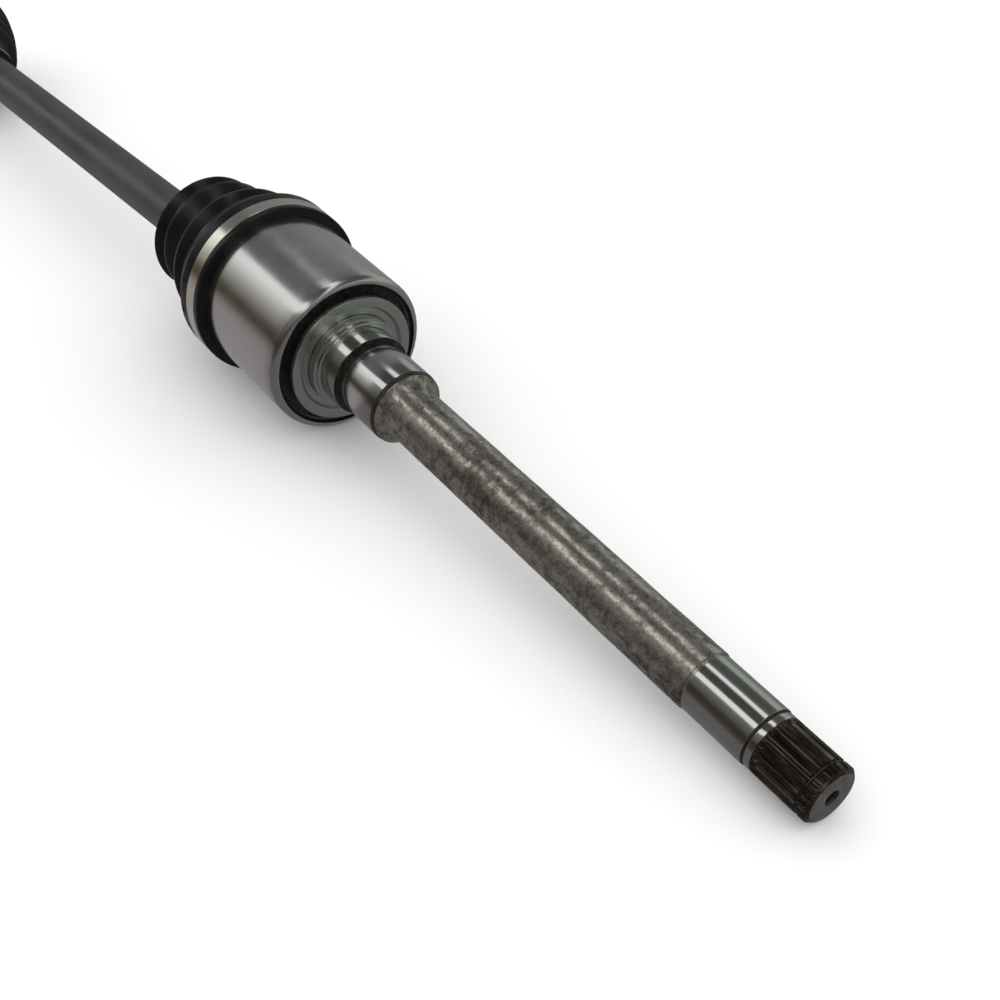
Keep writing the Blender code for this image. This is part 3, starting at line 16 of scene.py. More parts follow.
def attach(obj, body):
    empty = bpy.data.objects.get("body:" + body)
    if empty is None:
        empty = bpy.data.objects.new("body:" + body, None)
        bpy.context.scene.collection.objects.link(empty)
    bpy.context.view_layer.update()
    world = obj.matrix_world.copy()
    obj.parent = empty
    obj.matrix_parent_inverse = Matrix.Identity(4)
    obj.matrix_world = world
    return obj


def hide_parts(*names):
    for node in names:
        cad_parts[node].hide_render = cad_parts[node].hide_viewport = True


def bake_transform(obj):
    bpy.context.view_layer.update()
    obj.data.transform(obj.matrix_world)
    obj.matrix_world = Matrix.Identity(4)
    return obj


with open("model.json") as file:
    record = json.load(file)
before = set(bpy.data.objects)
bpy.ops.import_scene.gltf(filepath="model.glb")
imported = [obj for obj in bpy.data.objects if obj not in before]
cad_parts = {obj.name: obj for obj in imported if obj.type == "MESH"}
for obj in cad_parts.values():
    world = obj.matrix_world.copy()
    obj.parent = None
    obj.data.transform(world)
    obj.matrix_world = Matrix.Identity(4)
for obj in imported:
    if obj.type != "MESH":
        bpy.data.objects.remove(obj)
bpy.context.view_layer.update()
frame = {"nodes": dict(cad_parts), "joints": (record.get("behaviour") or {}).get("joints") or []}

# %% [markdown]
# ## Two axes to work on
# The stub leans a few degrees, and the bar lies almost level, so the axle bends in its inner joint.
# Every turned piece is easier to draw along its own axis, so each axis gets a matrix.
# The joints of the frame say where both of them run, so nothing here is measured twice.
# Sizes are in millimetres along those axes, and MM turns them into Blender's metres.

# %% Axes from the joints
MM = 0.001
joints = {joint["name"]: joint for joint in frame["joints"]}
inner_centre = Vector(joints["inboard_bend"]["pos_m"])
outer_centre = Vector(joints["outboard_bend"]["pos_m"])


def axis_frame(origin, direction):
    """A matrix whose X runs along direction, with Y level."""
    x = Vector(direction).normalized()
    y = Vector((0, 1, 0))
    z = x.cross(y)
    return Matrix.Translation(origin) @ Matrix((x, y, z)).transposed().to_4x4()


STUB = axis_frame(inner_centre, joints["inboard_plunge"]["axis"])
BAR = axis_frame(inner_centre, inner_centre - outer_centre)
WHEEL = axis_frame(outer_centre, inner_centre - outer_centre)
BAR_SPAN = (inner_centre - outer_centre).length / MM
PITCH = math.asin(-joints["inboard_plunge"]["axis"][2])
STUB_REACH = 400.0       # splined end to the inner joint's centre
print("bar from centre to centre:", round(BAR_SPAN, 1), "mm")

# %% [markdown]
# ## The lathe
# A turned piece is a row of rings along its axis. Each ring has a radius for every angle, so one
# function makes plain steps, and also teeth, threads and ball tracks, where the radius changes
# round the ring. A Screw modifier would do for plain steps alone. A first or last radius of zero
# closes the piece with a point. A ring-shaped piece joins its last ring back to its first.

# %% Skin rings into a piece
TURNS = 224              # points round a toothed piece, eight for each of its 28 teeth
SMOOTH_TURNS = 160       # points round a plain one


def angles(count):
    return np.arange(count) * 2 * math.pi / count


def skin(name, rings, count, axis, closed=False):
    """A mesh through rings of (place along X, radius or radii), placed on an axis."""
    turn = angles(count)
    around = np.stack([np.sin(turn), -np.cos(turn)], axis=1)
    verts, rows = [], []
    for at, radius in rings:
        if np.isscalar(radius) and radius == 0:
            rows.append([len(verts)] * count)
            verts.append((at, 0.0, 0.0))
            continue
        rows.append(list(range(len(verts), len(verts) + count)))
        radii = np.broadcast_to(radius, (count,))
        places = np.broadcast_to(at, (count,))
        verts += [(x, r * y, r * z) for x, r, (y, z) in zip(places, radii, around)]
    if closed:
        rows.append(rows[0])
    faces = []
    for low, high in zip(rows, rows[1:]):
        for i in range(count):
            j = (i + 1) % count
            corners = list(dict.fromkeys((low[i], low[j], high[j], high[i])))
            faces.append(corners)
    mesh = bpy.data.meshes.new(name)
    mesh.from_pydata([Vector(v) * MM for v in verts], [], faces)
    return placed(name, mesh, axis)


def placed(name, mesh, axis, crease=32):
    """Put a mesh on its axis, outside out, smooth except at real edges."""
    volume = sum((mesh.vertices[p.vertices[0]].co).dot(p.normal) * p.area for p in mesh.polygons)
    if volume < 0:
        mesh.flip_normals()
    mesh.shade_smooth()
    mesh.set_sharp_from_angle(angle=math.radians(crease))
    piece = bpy.data.objects.new(name, mesh)
    bpy.context.scene.collection.objects.link(piece)
    piece.matrix_world = axis
    return piece


def softened(outline, radius=0.3, steps=3):
    """An outline of (x, r) points with each corner rounded, as a tool or a tumbler leaves it."""
    points = [Vector(p) for p in outline]
    result = [points[0]]
    for before, corner, after in zip(points, points[1:], points[2:]):
        back, ahead = before - corner, after - corner
        reach = min(radius, back.length * 0.45, ahead.length * 0.45)
        start, end = corner + back.normalized() * reach, corner + ahead.normalized() * reach
        for i in range(steps + 1):
            t = i / steps
            result.append(start * (1 - t) ** 2 + corner * 2 * t * (1 - t) + end * t ** 2)
    result.append(points[-1])
    return [(p.x, p.y) for p in result]


def arc(centre, radius, first, last, steps):
    """Points on an arc in the outline's plane, angles in degrees from +x."""
    return [(centre[0] + radius * math.cos(math.radians(a)), centre[1] + radius * math.sin(math.radians(a)))
            for a in np.linspace(first, last, steps + 1)]


def from_end(outline):
    """Turn distances from the splined end into places along the stub's axis."""
    return [(STUB_REACH - s, r) for s, r in outline]


def ease(t):
    t = np.clip(t, 0.0, 1.0)
    return t * t * (3 - 2 * t)


print("lathe ready:", TURNS, "points round a toothed piece")

# %% [markdown]
# ## The finishes
# Each finish is a small node tree. They all start from the same idea: a noise, cleaned up by a
# colour ramp, moves the colour, the roughness and a shallow bump together, because on real metal
# a dark patch of scale is also a duller and slightly raised patch.
# The noise is stretched round the axis for ground steel, since the wheel's scratches run that way.

# %% Node helpers


class Finish:
    """A material that is put together a node at a time."""

    def __init__(self, name, metallic, specular=0.5):
        self.material = bpy.data.materials.new(name)
        self.material.use_nodes = True
        self.tree = self.material.node_tree
        self.shader = self.tree.nodes["Principled BSDF"]
        self.shader.inputs["Metallic"].default_value = metallic
        self.shader.inputs["Specular IOR Level"].default_value = specular
        level = self.node("ShaderNodeMapping", {"Vector": self.node("ShaderNodeTexCoord").outputs["Object"],
                                                "Rotation": (0, -PITCH, 0)})
        self.place = level.outputs[0]

    def node(self, kind, inputs=(), **settings):
        made = self.tree.nodes.new(kind)
        for key, value in settings.items():
            setattr(made, key, value)
        for key, value in dict(inputs).items():
            if isinstance(value, bpy.types.NodeSocket):
                self.tree.links.new(value, made.inputs[key])
            else:
                made.inputs[key].default_value = value
        return made

    def noise(self, scale, detail=4.0, stretch=(1, 1, 1), roughness=0.55):
        """Noise with a scale in features per metre, longer along a stretched axis."""
        mapping = self.node("ShaderNodeMapping", {"Vector": self.place, "Scale": [1 / s for s in stretch]})
        made = self.node("ShaderNodeTexNoise", {"Vector": mapping.outputs[0], "Scale": scale,
                                                "Detail": detail, "Roughness": roughness})
        return made.outputs["Fac"]

    def ramp(self, value, *stops):
        """A colour ramp of (place, colour or grey) stops."""
        made = self.node("ShaderNodeValToRGB", {"Fac": value})
        elements = made.color_ramp.elements
        while len(elements) < len(stops):
            elements.new(0.5)
        for element, (place, colour) in zip(elements, stops):
            element.position = place
            element.color = (*([colour] * 3 if np.isscalar(colour) else colour), 1.0)
        return made.outputs["Color"]

    def mix(self, factor, a, b, mode='MIX'):
        made = self.node("ShaderNodeMix", data_type='RGBA', blend_type=mode)
        for socket, value in zip((made.inputs[0], made.inputs[6], made.inputs[7]), (factor, a, b)):
            if isinstance(value, bpy.types.NodeSocket):
                self.tree.links.new(value, socket)
            else:
                socket.default_value = value if np.isscalar(value) else (*value, 1.0)
        return made.outputs[2]

    def use(self, colour=None, roughness=None, bump=None, strength=0.2, depth=0.0001):
        """Wire colour, roughness and a bump height into the shader."""
        for socket, value in (("Base Color", colour), ("Roughness", roughness)):
            if value is not None:
                self.tree.links.new(value, self.shader.inputs[socket])
        if bump is not None:
            made = self.node("ShaderNodeBump", {"Height": bump, "Strength": strength, "Distance": depth})
            self.tree.links.new(made.outputs[0], self.shader.inputs["Normal"])
        return self.material


# %% [markdown]
# ### Ground steel
# The bearing seat, the seal's band and the land by the splines are ground: almost mirrors, with
# hair-thin scratches round the axis. Fine noise squeezed along X gives those scratches.
# A second, broad noise adds the faint clouds of handling and oil.

# %% Ground steel


def ground_steel(name="ground_steel", grey=0.6, rough=(0.09, 0.15)):
    finish = Finish(name, metallic=1.0)
    hairs = finish.noise(9000, detail=2, stretch=(1, 14, 14))
    clouds = finish.noise(55, detail=5)
    tint = finish.ramp(clouds, (0.3, (grey * 0.9, grey * 0.89, grey * 0.87)),
                       (0.7, (grey, grey, grey * 0.985)))
    shine = finish.ramp(finish.mix(0.5, hairs, clouds), (0.35, rough[0]), (0.7, rough[1]))
    return finish.use(tint, shine, hairs, strength=0.04, depth=0.00002)


# %% [markdown]
# ### Forged steel
# The long shaft is left as forged and shot-blasted: grey-brown, mottled with darker scale, and
# pitted. Three noises of different scales make it: broad stains, small blotches, and fine pits
# that only the bump and the darkest stop of the ramp use.

# %% Forged steel


def forged_steel(name="forged_steel", light=(0.5, 0.465, 0.415), dark=(0.14, 0.12, 0.1)):
    finish = Finish(name, metallic=0.92)
    stains = finish.noise(38, detail=4, stretch=(1.6, 1, 1))
    blotches = finish.noise(230, detail=6, roughness=0.68)
    pits = finish.noise(900, detail=3, roughness=0.6)
    patches = finish.mix(0.62, stains, blotches)
    shade = finish.ramp(patches, (0.40, dark), (0.47, [0.55 * c for c in light]), (0.56, light))
    specks = finish.ramp(pits, (0.36, 0.35), (0.45, 1.0))
    colour = finish.mix(0.75, shade, specks, mode='MULTIPLY')
    shine = finish.ramp(patches, (0.40, 0.36), (0.56, 0.22))
    height = finish.mix(0.5, blotches, pits)
    return finish.use(colour, shine, height, strength=0.22, depth=0.00012)


# %% [markdown]
# ### Zinc plate, spline oil, rubber, paint and the rest
# The can is zinc-plated sheet, satin rather than mirror. The splines wear a brown-black film of
# preserving oil. Rubber is not one black: its moulded skin has a fine grain and a waxy bloom.
# The bar's paint has a slight orange peel. Spring clips are black oxide, bearing pieces polished.

# %% The other finishes


def zinc_plate(name="zinc_plate", colour=(0.61, 0.61, 0.6), rough=(0.15, 0.22)):
    finish = Finish(name, metallic=1.0)
    spangle = finish.noise(140, detail=5, stretch=(1.5, 1, 1))
    clouds = finish.noise(24, detail=3)
    tint = finish.ramp(finish.mix(0.4, spangle, clouds), (0.3, [0.9 * c for c in colour]), (0.65, colour))
    shine = finish.ramp(spangle, (0.3, rough[0]), (0.7, rough[1]))
    return finish.use(tint, shine, spangle, strength=0.05, depth=0.00006)


def turned_zinc(name="turned_zinc"):
    finish = Finish(name, metallic=1.0)
    rings = finish.noise(2600, detail=2, stretch=(40, 3, 3))
    clouds = finish.noise(60, detail=4)
    tint = finish.ramp(clouds, (0.3, (0.48, 0.505, 0.475)), (0.7, (0.56, 0.585, 0.55)))
    shine = finish.ramp(rings, (0.3, 0.24), (0.7, 0.36))
    return finish.use(tint, shine, rings, strength=0.06, depth=0.00003)


def oiled_spline(name="oiled_spline"):
    finish = Finish(name, metallic=0.85)
    film = finish.noise(260, detail=5, stretch=(3, 1, 1))
    tint = finish.ramp(film, (0.38, (0.032, 0.025, 0.02)), (0.55, (0.055, 0.043, 0.034)),
                       (0.7, (0.12, 0.1, 0.078)))
    shine = finish.ramp(film, (0.35, 0.12), (0.7, 0.24))
    return finish.use(tint, shine, film, strength=0.12, depth=0.00006)


def sawn_face(name="sawn_face"):
    finish = Finish(name, metallic=0.8)
    smears = finish.noise(300, detail=5, stretch=(1, 1, 2))
    tint = finish.ramp(smears, (0.3, (0.13, 0.12, 0.115)), (0.7, (0.24, 0.225, 0.215)))
    shine = finish.ramp(smears, (0.3, 0.38), (0.7, 0.52))
    return finish.use(tint, shine, smears, strength=0.15)


# Painted shade: a near-black metal laid on grooves, drill holes and the can's inner flange, where shade
# falls; its noise only mottles that dark.
def painted_shade_recess(name="painted_shade_recess"):
    finish = Finish(name, metallic=0.7)
    shade_mottle = finish.noise(400, detail=4)
    tint = finish.ramp(shade_mottle, (0.3, (0.02, 0.018, 0.016)), (0.7, (0.06, 0.055, 0.05)))
    shine = finish.ramp(shade_mottle, (0.3, 0.3), (0.7, 0.5))
    return finish.use(tint, shine, shade_mottle, strength=0.1)


def black_rubber(name="black_rubber"):
    finish = Finish(name, metallic=0.0, specular=0.3)
    grain = finish.noise(1500, detail=3)
    bloom = finish.noise(45, detail=4)
    tint = finish.ramp(bloom, (0.35, (0.0035, 0.0035, 0.004)), (0.7, (0.0065, 0.0065, 0.0075)))
    shine = finish.ramp(finish.mix(0.35, bloom, grain), (0.35, 0.24), (0.68, 0.36))
    return finish.use(tint, shine, grain, strength=0.12, depth=0.00006)


def bar_paint(name="bar_paint"):
    finish = Finish(name, metallic=0.25)
    peel = finish.noise(700, detail=2)
    dust = finish.noise(60, detail=5, stretch=(3, 1, 1))
    tint = finish.ramp(dust, (0.35, (0.036, 0.036, 0.035)), (0.68, (0.064, 0.063, 0.06)))
    shine = finish.ramp(dust, (0.3, 0.34), (0.7, 0.46))
    return finish.use(tint, shine, peel, strength=0.1, depth=0.00008)


def band_steel(name="band_steel"):
    finish = Finish(name, metallic=1.0)
    hairs = finish.noise(5000, detail=2, stretch=(1, 12, 12))
    clouds = finish.noise(40, detail=3)
    tint = finish.ramp(clouds, (0.3, (0.66, 0.635, 0.56)), (0.7, (0.78, 0.76, 0.69)))
    shine = finish.ramp(hairs, (0.3, 0.13), (0.7, 0.2))
    return finish.use(tint, shine, hairs, strength=0.05, depth=0.00003)


def black_oxide(name="black_oxide"):
    finish = Finish(name, metallic=0.9)
    scale = finish.noise(500, detail=4)
    tint = finish.ramp(scale, (0.3, (0.03, 0.029, 0.03)), (0.7, (0.085, 0.08, 0.08)))
    shine = finish.ramp(scale, (0.3, 0.25), (0.7, 0.42))
    return finish.use(tint, shine, scale, strength=0.1)


def phosphate(name="phosphate"):
    finish = Finish(name, metallic=0.75)
    crystals = finish.noise(800, detail=4)
    stains = finish.noise(40, detail=4)
    tint = finish.ramp(finish.mix(0.3, stains, crystals), (0.35, (0.05, 0.049, 0.047)),
                       (0.65, (0.12, 0.115, 0.108)))
    shine = finish.ramp(stains, (0.3, 0.38), (0.7, 0.55))
    return finish.use(tint, shine, crystals, strength=0.15)


GROUND, FORGED, OILED, SAWN, PAINTED_SHADE = (
    ground_steel(), forged_steel(), oiled_spline(), sawn_face(), painted_shade_recess())
ZINC, TURNED, RUBBER, PAINT, BAND = (
    zinc_plate(), turned_zinc(), black_rubber(), bar_paint(), band_steel())
OXIDE, PHOSPHATE = black_oxide(), phosphate()
POLISHED = ground_steel("polished_bearing", grey=0.68, rough=(0.07, 0.12))
print("finishes:", len(bpy.data.materials))


def wear(piece, *finishes, rule=None):
    """Give a piece its finishes; rule picks one by a face's place and radius on its own axis."""
    for finish in finishes:
        piece.data.materials.append(finish)
    if rule:
        for face in piece.data.polygons:
            at, y, z = face.center / MM
            face.material_index = rule(at, math.hypot(y, z))
    return piece


def settle(piece, node=None):
    """Lay a finished mesh down where it belongs, hide the frame's node it replaces and print its size."""
    piece.data.transform(piece.matrix_world)
    piece.matrix_world = Matrix.Identity(4)
    if node:
        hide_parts(node)
    size = piece.dimensions / MM
    print(f"{piece.name}: {len(piece.data.polygons)} faces, {size.x:.0f} x {size.y:.0f} x {size.z:.0f} mm")


# %% [markdown]
# ## The long stub
# This is one steel forging: splined end, ground land, rough shaft, ground seats, and behind the
# end disc the cup that the three rollers run in. The splines are the part that a plain cylinder
# can't fake, so the radius follows a flat-topped tooth round the ring, and the root rises along
# an arc where the cutter ran out.

# %% Spline teeth
SPLINE_TIP_R, SPLINE_DEPTH, SPLINE_TEETH = 14.1, 1.1, 28
RUN_OUT_START, RUN_OUT_END = 26.5, 31.0
END_CHAMFER = 1.9


def tooth(turn, teeth):
    """How far up a tooth's flank each angle is, from 0 in the root to 1 on the tip."""
    share = (turn * teeth / (2 * math.pi)) % 1.0
    return ease((0.5 - np.abs(share - 0.5) - 0.14) / 0.2)


def splined(tip_r, depth, teeth, count):
    return tip_r - depth + depth * tooth(angles(count), teeth)


def spline_rings():
    """The splined end: drilled centre, sawn face, chamfer, teeth, clip groove and run-out."""
    teeth = splined(SPLINE_TIP_R, SPLINE_DEPTH, SPLINE_TEETH, TURNS)
    rings = [(7.0, 0), (5.2, 2.9), (0.9, 3.0), (0.0, 4.0), (0.0, 8.0), (0.0, 12.1)]
    for s in np.linspace(0.25, END_CHAMFER, 5):
        rings.append((s, np.minimum(teeth, 12.3 + (SPLINE_TIP_R - 12.3) * s / END_CHAMFER)))
    rings += [(s, teeth) for s in (2.6, 3.4, 4.2, 5.1)]
    rings += [(5.2, np.minimum(teeth, 13.9)), (5.2, 11.5), (5.35, 11.4), (6.75, 11.4), (6.9, 11.5),
              (6.9, np.minimum(teeth, 13.9))]
    rings += [(s, teeth) for s in np.linspace(7.0, RUN_OUT_START, 9)]
    for s in np.linspace(RUN_OUT_START + 0.6, RUN_OUT_END, 8):
        rise = SPLINE_DEPTH * ((s - RUN_OUT_START) / (RUN_OUT_END - RUN_OUT_START)) ** 2
        rings.append((s, np.maximum(teeth, SPLINE_TIP_R - SPLINE_DEPTH + rise)))
    return rings


# %% [markdown]
# The shaft between the lands keeps the uneven skin of the forge. A noise moves each point by a
# tenth of a millimetre or so, which is enough to make the long highlight waver.

# %% The rest of the stub's outline
LAND_START, LAND_END, LAND_R = 36.1, 70.7, 14.5
SHAFT_R = 15.0
HUB_START, SEAT_END = 296.7, 323.8
BAND_START, BAND_END = 327.8, 340.6
DISC_FACE = 345.9
CAN_FRONT, CAN_MOUTH, CAN_R, CAN_WALL, CAN_LIP_R = 350.0, 446.0, 45.4, 1.6, 3.6
TULIP_FRONT, TULIP_R, CUP_END = 356.9, 43.5, 443.9
FORGE_WAVE = 0.13


def forged_ring(s, radius):
    """A ring of the rough shaft."""
    radii = [radius + FORGE_WAVE * noise.noise((s * 0.05, 2.2 * math.sin(a), 2.2 * math.cos(a)))
             + 0.4 * FORGE_WAVE * noise.noise((s * 0.3, 6 * math.sin(a), 6 * math.cos(a)))
             for a in angles(TURNS)]
    return s, np.array(radii)


def shaft_rings():
    shoulder = softened([(31.4, 13.75), (32.4, SPLINE_TIP_R), (34.4, SPLINE_TIP_R), (34.9, 13.7),
                         (35.6, 13.7), (LAND_START, LAND_R), (LAND_END, LAND_R), (LAND_END + 0.3, 13.9),
                         (LAND_END + 1.3, 13.9), (LAND_END + 1.7, SHAFT_R - 0.15)], 0.22)
    rough = [forged_ring(s, SHAFT_R) for s in np.arange(LAND_END + 2.4, 286.5, 1.7)]
    flare = [forged_ring(s, r) for s, r in arc((HUB_START - 9.5, SHAFT_R + 7.0), 7.0, -90, -18, 9)]
    return shoulder + rough + flare


def hub_rings():
    fine = [(343.0 + 0.45 * i, 25.6 - (0.16 if i % 2 else 0.0)) for i in range(7)]
    return softened([(294.1, 20.1), (HUB_START, 20.5), (SEAT_END, 20.5), (SEAT_END + 0.15, 19.3),
                     (BAND_START - 0.15, 19.3), (BAND_START, 22.9), (BAND_END, 22.9), (BAND_END + 0.3, 24.2),
                     (342.5, 24.2), (342.7, 25.6), *fine, (348.8, 25.6), (348.81, 30.3),
                     (TULIP_FRONT, 30.3), (TULIP_FRONT + 0.01, 41.5),
                     (TULIP_FRONT + 2.6, TULIP_R), (CUP_END, TULIP_R)], 0.28)


# %% [markdown]
# ### The cup's three tracks
# Inside, the cup is a round bore with three straight-sided tracks for the rollers. Seen from the
# axis it is one radius for each angle: a track's side, its curved floor, or the bore between two.
# The mouth flares, so that the bar can swing while it is pushed right in.

# %% Track section
TRACK_HALF, TRACK_FLOOR_R, CUP_BORE_R = 16.3, 34.9, 22.5
FLARE_SLOPE = math.tan(math.radians(20.0))
FLARE_AT_CENTRE_R = 19.2
CUP_FLOOR = 358.9


def track_section(count):
    turn = angles(count) - math.pi
    off = np.abs((turn + math.pi / 3) % (2 * math.pi / 3) - math.pi / 3)
    side = TRACK_HALF / np.maximum(np.sin(off), 1e-3)
    return np.maximum(np.minimum(side, TRACK_FLOOR_R), CUP_BORE_R)


def cup_rings():
    section = track_section(TURNS)
    rings = []
    for s in np.linspace(CUP_END, CUP_FLOOR, 12):
        flare = FLARE_AT_CENTRE_R + (s - STUB_REACH) * FLARE_SLOPE
        rings.append((s, np.maximum(section, flare)))
    return rings + [(CUP_FLOOR, section * 0.4), (CUP_FLOOR, 0)]


def stub_finish(at, radius):
    """Which finish a face of the stub wears."""
    s = STUB_REACH - at
    ground = (LAND_START - 0.1 < s < LAND_END + 0.1 or HUB_START - 0.1 < s < SEAT_END
              or BAND_START - 0.1 < s < 349)
    if s < 0.05 and radius > 3.6:
        return 3
    # Painted shade: the centre drill hole, the corner before the bearing seat and the grooves wear the
    # near-black recess finish (4).
    if s < 7.5 and radius < 3.7 or HUB_START - 3.0 < s <= HUB_START or SEAT_END <= s < BAND_START - 0.05:
        return 4
    if s < 31.6:
        return 4 if 5.15 < s < 6.95 else 2
    return 0 if ground or s < 34.5 else 4 if s < LAND_START else 1


stub = skin("tulip_shaft_fine", from_end(spline_rings() + shaft_rings() + hub_rings() + cup_rings()),
            TURNS, STUB)
wear(stub, GROUND, FORGED, OILED, SAWN, PAINTED_SHADE, rule=stub_finish)
settle(stub, "tulip_shaft")
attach(stub, "tulip_shaft")

# %% [markdown]
# ## The can, the end disc and the wire clip
# A sheet steel can is rolled over the cup. Its front edge turns in on a small rolled lip and dives
# back to a flange, which leaves a deep ring round the end disc; that flange wears painted shade, a
# near-black finish that makes the ring dark. The disc is turned: its rim is flat and bright, and its
# dish carries the tool's fine rings, cut here as real steps.

# %% Can
NECK_R = CAN_R - CAN_LIP_R - 2.1
FLANGE = CAN_FRONT + 6.6


def can_outline():
    lip = (CAN_FRONT + CAN_LIP_R, CAN_R - CAN_LIP_R)
    outside = arc(lip, CAN_LIP_R, 180, 90, 14)
    inside = arc(lip, CAN_LIP_R - CAN_WALL, 90, 150, 6)
    mouth = softened([(CAN_MOUTH - 1, CAN_R), (CAN_MOUTH, CAN_R), (CAN_MOUTH, CAN_R - CAN_WALL),
                      (CAN_MOUTH - 1, CAN_R - CAN_WALL)], 0.4)
    straight = [(s, CAN_R) for s in np.linspace(CAN_FRONT + 12, CAN_MOUTH - 6, 8)]
    root = softened([(FLANGE - CAN_WALL, 30.6), (FLANGE - CAN_WALL, NECK_R), (CAN_FRONT + 2.9, 41.3),
                     outside[0]], 1.2, 5)
    return root + outside[1:] + straight + mouth + inside + [(FLANGE, NECK_R + 0.5), (FLANGE, 30.6)]


can = skin("joint_can_fine", from_end(can_outline()), SMOOTH_TURNS, STUB, closed=True)
# Painted shade: the flange that dives in behind the lip wears the near-black recess finish, which makes the
# dark ring round the disc.
wear(can, ZINC, PAINTED_SHADE,
     rule=lambda at, radius: 1 if at < STUB_REACH - CAN_FRONT - 0.9 and radius < NECK_R + 0.5 else 0)
settle(can, "joint_can")
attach(can, "tulip_shaft")

# %% End disc
DISC_R, DISC_BACK, DISC_DISH = 36.0, 348.5, 347.5


def disc_outline():
    steps = [(DISC_DISH - (0.14 if i % 2 else 0.0), 26.3 + 0.42 * i) for i in range(8)]
    face = softened([(DISC_DISH, 25.9), *steps, (DISC_DISH, 29.5), (DISC_FACE, 30.8), (DISC_FACE, DISC_R),
                     (DISC_BACK, DISC_R), (DISC_BACK, 25.9)], 0.3)
    return face


disc = skin("end_disc_fine", from_end(disc_outline()), SMOOTH_TURNS, STUB, closed=True)
wear(disc, TURNED)
settle(disc, "end_disc")
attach(disc, "tulip_shaft")

# %% Wire clip in the splines
CLIP_WIRE_R, CLIP_RING_R, CLIP_AT = 0.65, 13.0, 6.05
CLIP_OPENING = math.radians(16)


def wire_ring(name, ring_r, wire_r, at, opening, axis, steps=72, sides=12, kink=0.0):
    """A sprung ring of round wire with rounded ends; kink springs one end a little along the axis."""
    verts, faces = [], []
    path = [(opening + (2 * math.pi - 2 * opening) * i / steps) for i in range(steps + 1)]
    ends = [(0, 0.35), (0, 0.75)]
    for i, turn in enumerate([path[0], path[0], *path, path[-1], path[-1]]):
        near = min(i, steps + 4 - i)
        swell = ends[near][1] if near < len(ends) else 1.0
        nudge = (near - 2) * 0.2 / ring_r if near < 2 else 0.0
        turn += nudge if i < steps / 2 else -nudge
        middle = at + kink * max(0.0, 1 - i / 14)
        for k in range(sides):
            a = 2 * math.pi * k / sides
            r = ring_r + wire_r * swell * math.cos(a)
            verts.append(Vector((middle + wire_r * swell * math.sin(a),
                                 r * math.sin(turn), -r * math.cos(turn))) * MM)
    rows = steps + 5
    for i in range(rows - 1):
        for k in range(sides):
            m = (k + 1) % sides
            faces.append((i * sides + k, i * sides + m, (i + 1) * sides + m, (i + 1) * sides + k))
    faces.append(tuple(range(sides)))
    faces.append(tuple(range((rows - 1) * sides, rows * sides)))
    mesh = bpy.data.meshes.new(name)
    mesh.from_pydata(verts, [], faces)
    return placed(name, mesh, axis)


clip = wire_ring("spline_clip_fine", CLIP_RING_R, CLIP_WIRE_R, STUB_REACH - CLIP_AT, CLIP_OPENING, STUB,
                 kink=0.12)
wear(clip, OXIDE)
settle(clip, "spline_clip")
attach(clip, "tulip_shaft")

# %% [markdown]
# ## The rubber boots
# A boot is a turned bellows: a thick bead for the band, round crests, tight valleys and a cuff
# that grips the bar. Each fold is drawn as its crest and its valley, and a cosine runs between
# them, sharpened a little in the valley as moulded rubber is.
# The inner boot reaches across two joints, the plunge and the bend. One piece can only bend over
# one joint, so it is made in two lengths that meet on the crest of a fold. Both lengths are swung
# here by the bar's angle, most of it in the last fold. With the joint pushed fully in and fully bent,
# the bar still cuts into the first length, where real rubber would give way.

# %% Bellows outline
BOOT_WALL = 2.6
VALLEY_SHARPNESS = 1.35


def bellows(points, steps=9):
    """Smooth folds through a row of crests and valleys."""
    result = []
    for (x0, r0), (x1, r1) in zip(points, points[1:]):
        low_first = r0 < r1
        for i in range(steps):
            t = i / steps
            rise = (1 - math.cos(math.pi * t)) / 2
            rise = rise ** (VALLEY_SHARPNESS if low_first else 1.0)
            if not low_first:
                rise = 1 - (1 - rise) ** VALLEY_SHARPNESS
            result.append((x0 + (x1 - x0) * t, r0 + (r1 - r0) * rise))
    return result + [points[-1]]


def moulded(folds, inside=False):
    """The folds of one side of the wall."""
    shift = BOOT_WALL if inside else 0.0
    return [(x, r - shift) for x, r in bellows(folds)]


BAND_WIDTH, BAND_THICKNESS = 8.3, 0.8
BEAD_R = 50.6
LIP, BAND_AT, CUFF = 23.5, 27.4, 116.0
CUFF_LENGTH, CUFF_R = 15.0, 18.1
BAR_R = 13.7
FOLDS = [(41.7, 50.6), (49.5, 47.0), (55.5, 37.5), (65.7, 42.7), (79.0, 32.6), (90.5, 36.4), (98.3, 31.0),
         (105.4, 35.5), (112.5, 27.8), (CUFF, CUFF_R)]
SPLIT = 3                # the crest where the two lengths meet
FOLLOWS_BAR = 92.0       # listed as the rear length's end in the loop below
BEND_LATENESS = 6        # the boot stays on the can's axis and bends in its last fold
BEND_ANGLE = math.asin(max(-1.0, min(1.0, (STUB.to_3x3().inverted() @ BAR.to_3x3() @ Vector((1, 0, 0))).z)))


def swung(piece, start, end, angle):
    """Swing a boot's rings about the joint's centre, none before start and all of it past end."""
    for vert in piece.data.vertices:
        share = min(max((-vert.co.x / MM - start) / (end - start), 0.0), 1.0) ** BEND_LATENESS
        vert.co = Matrix.Rotation(-angle * share, 3, 'Y') @ vert.co
    return piece


def boot_head():
    """Lip, band seat and bead, from the inside of the lip outwards."""
    seat = BEAD_R - BAND_THICKNESS - 0.1
    end = BAND_AT + BAND_WIDTH
    return softened([(LIP, CAN_R + 0.05), (LIP, BEAD_R), (BAND_AT - 0.2, BEAD_R), (BAND_AT - 0.1, seat),
                     (end + 0.1, seat), (end + 0.2, BEAD_R), FOLDS[0]], 0.8, 5)


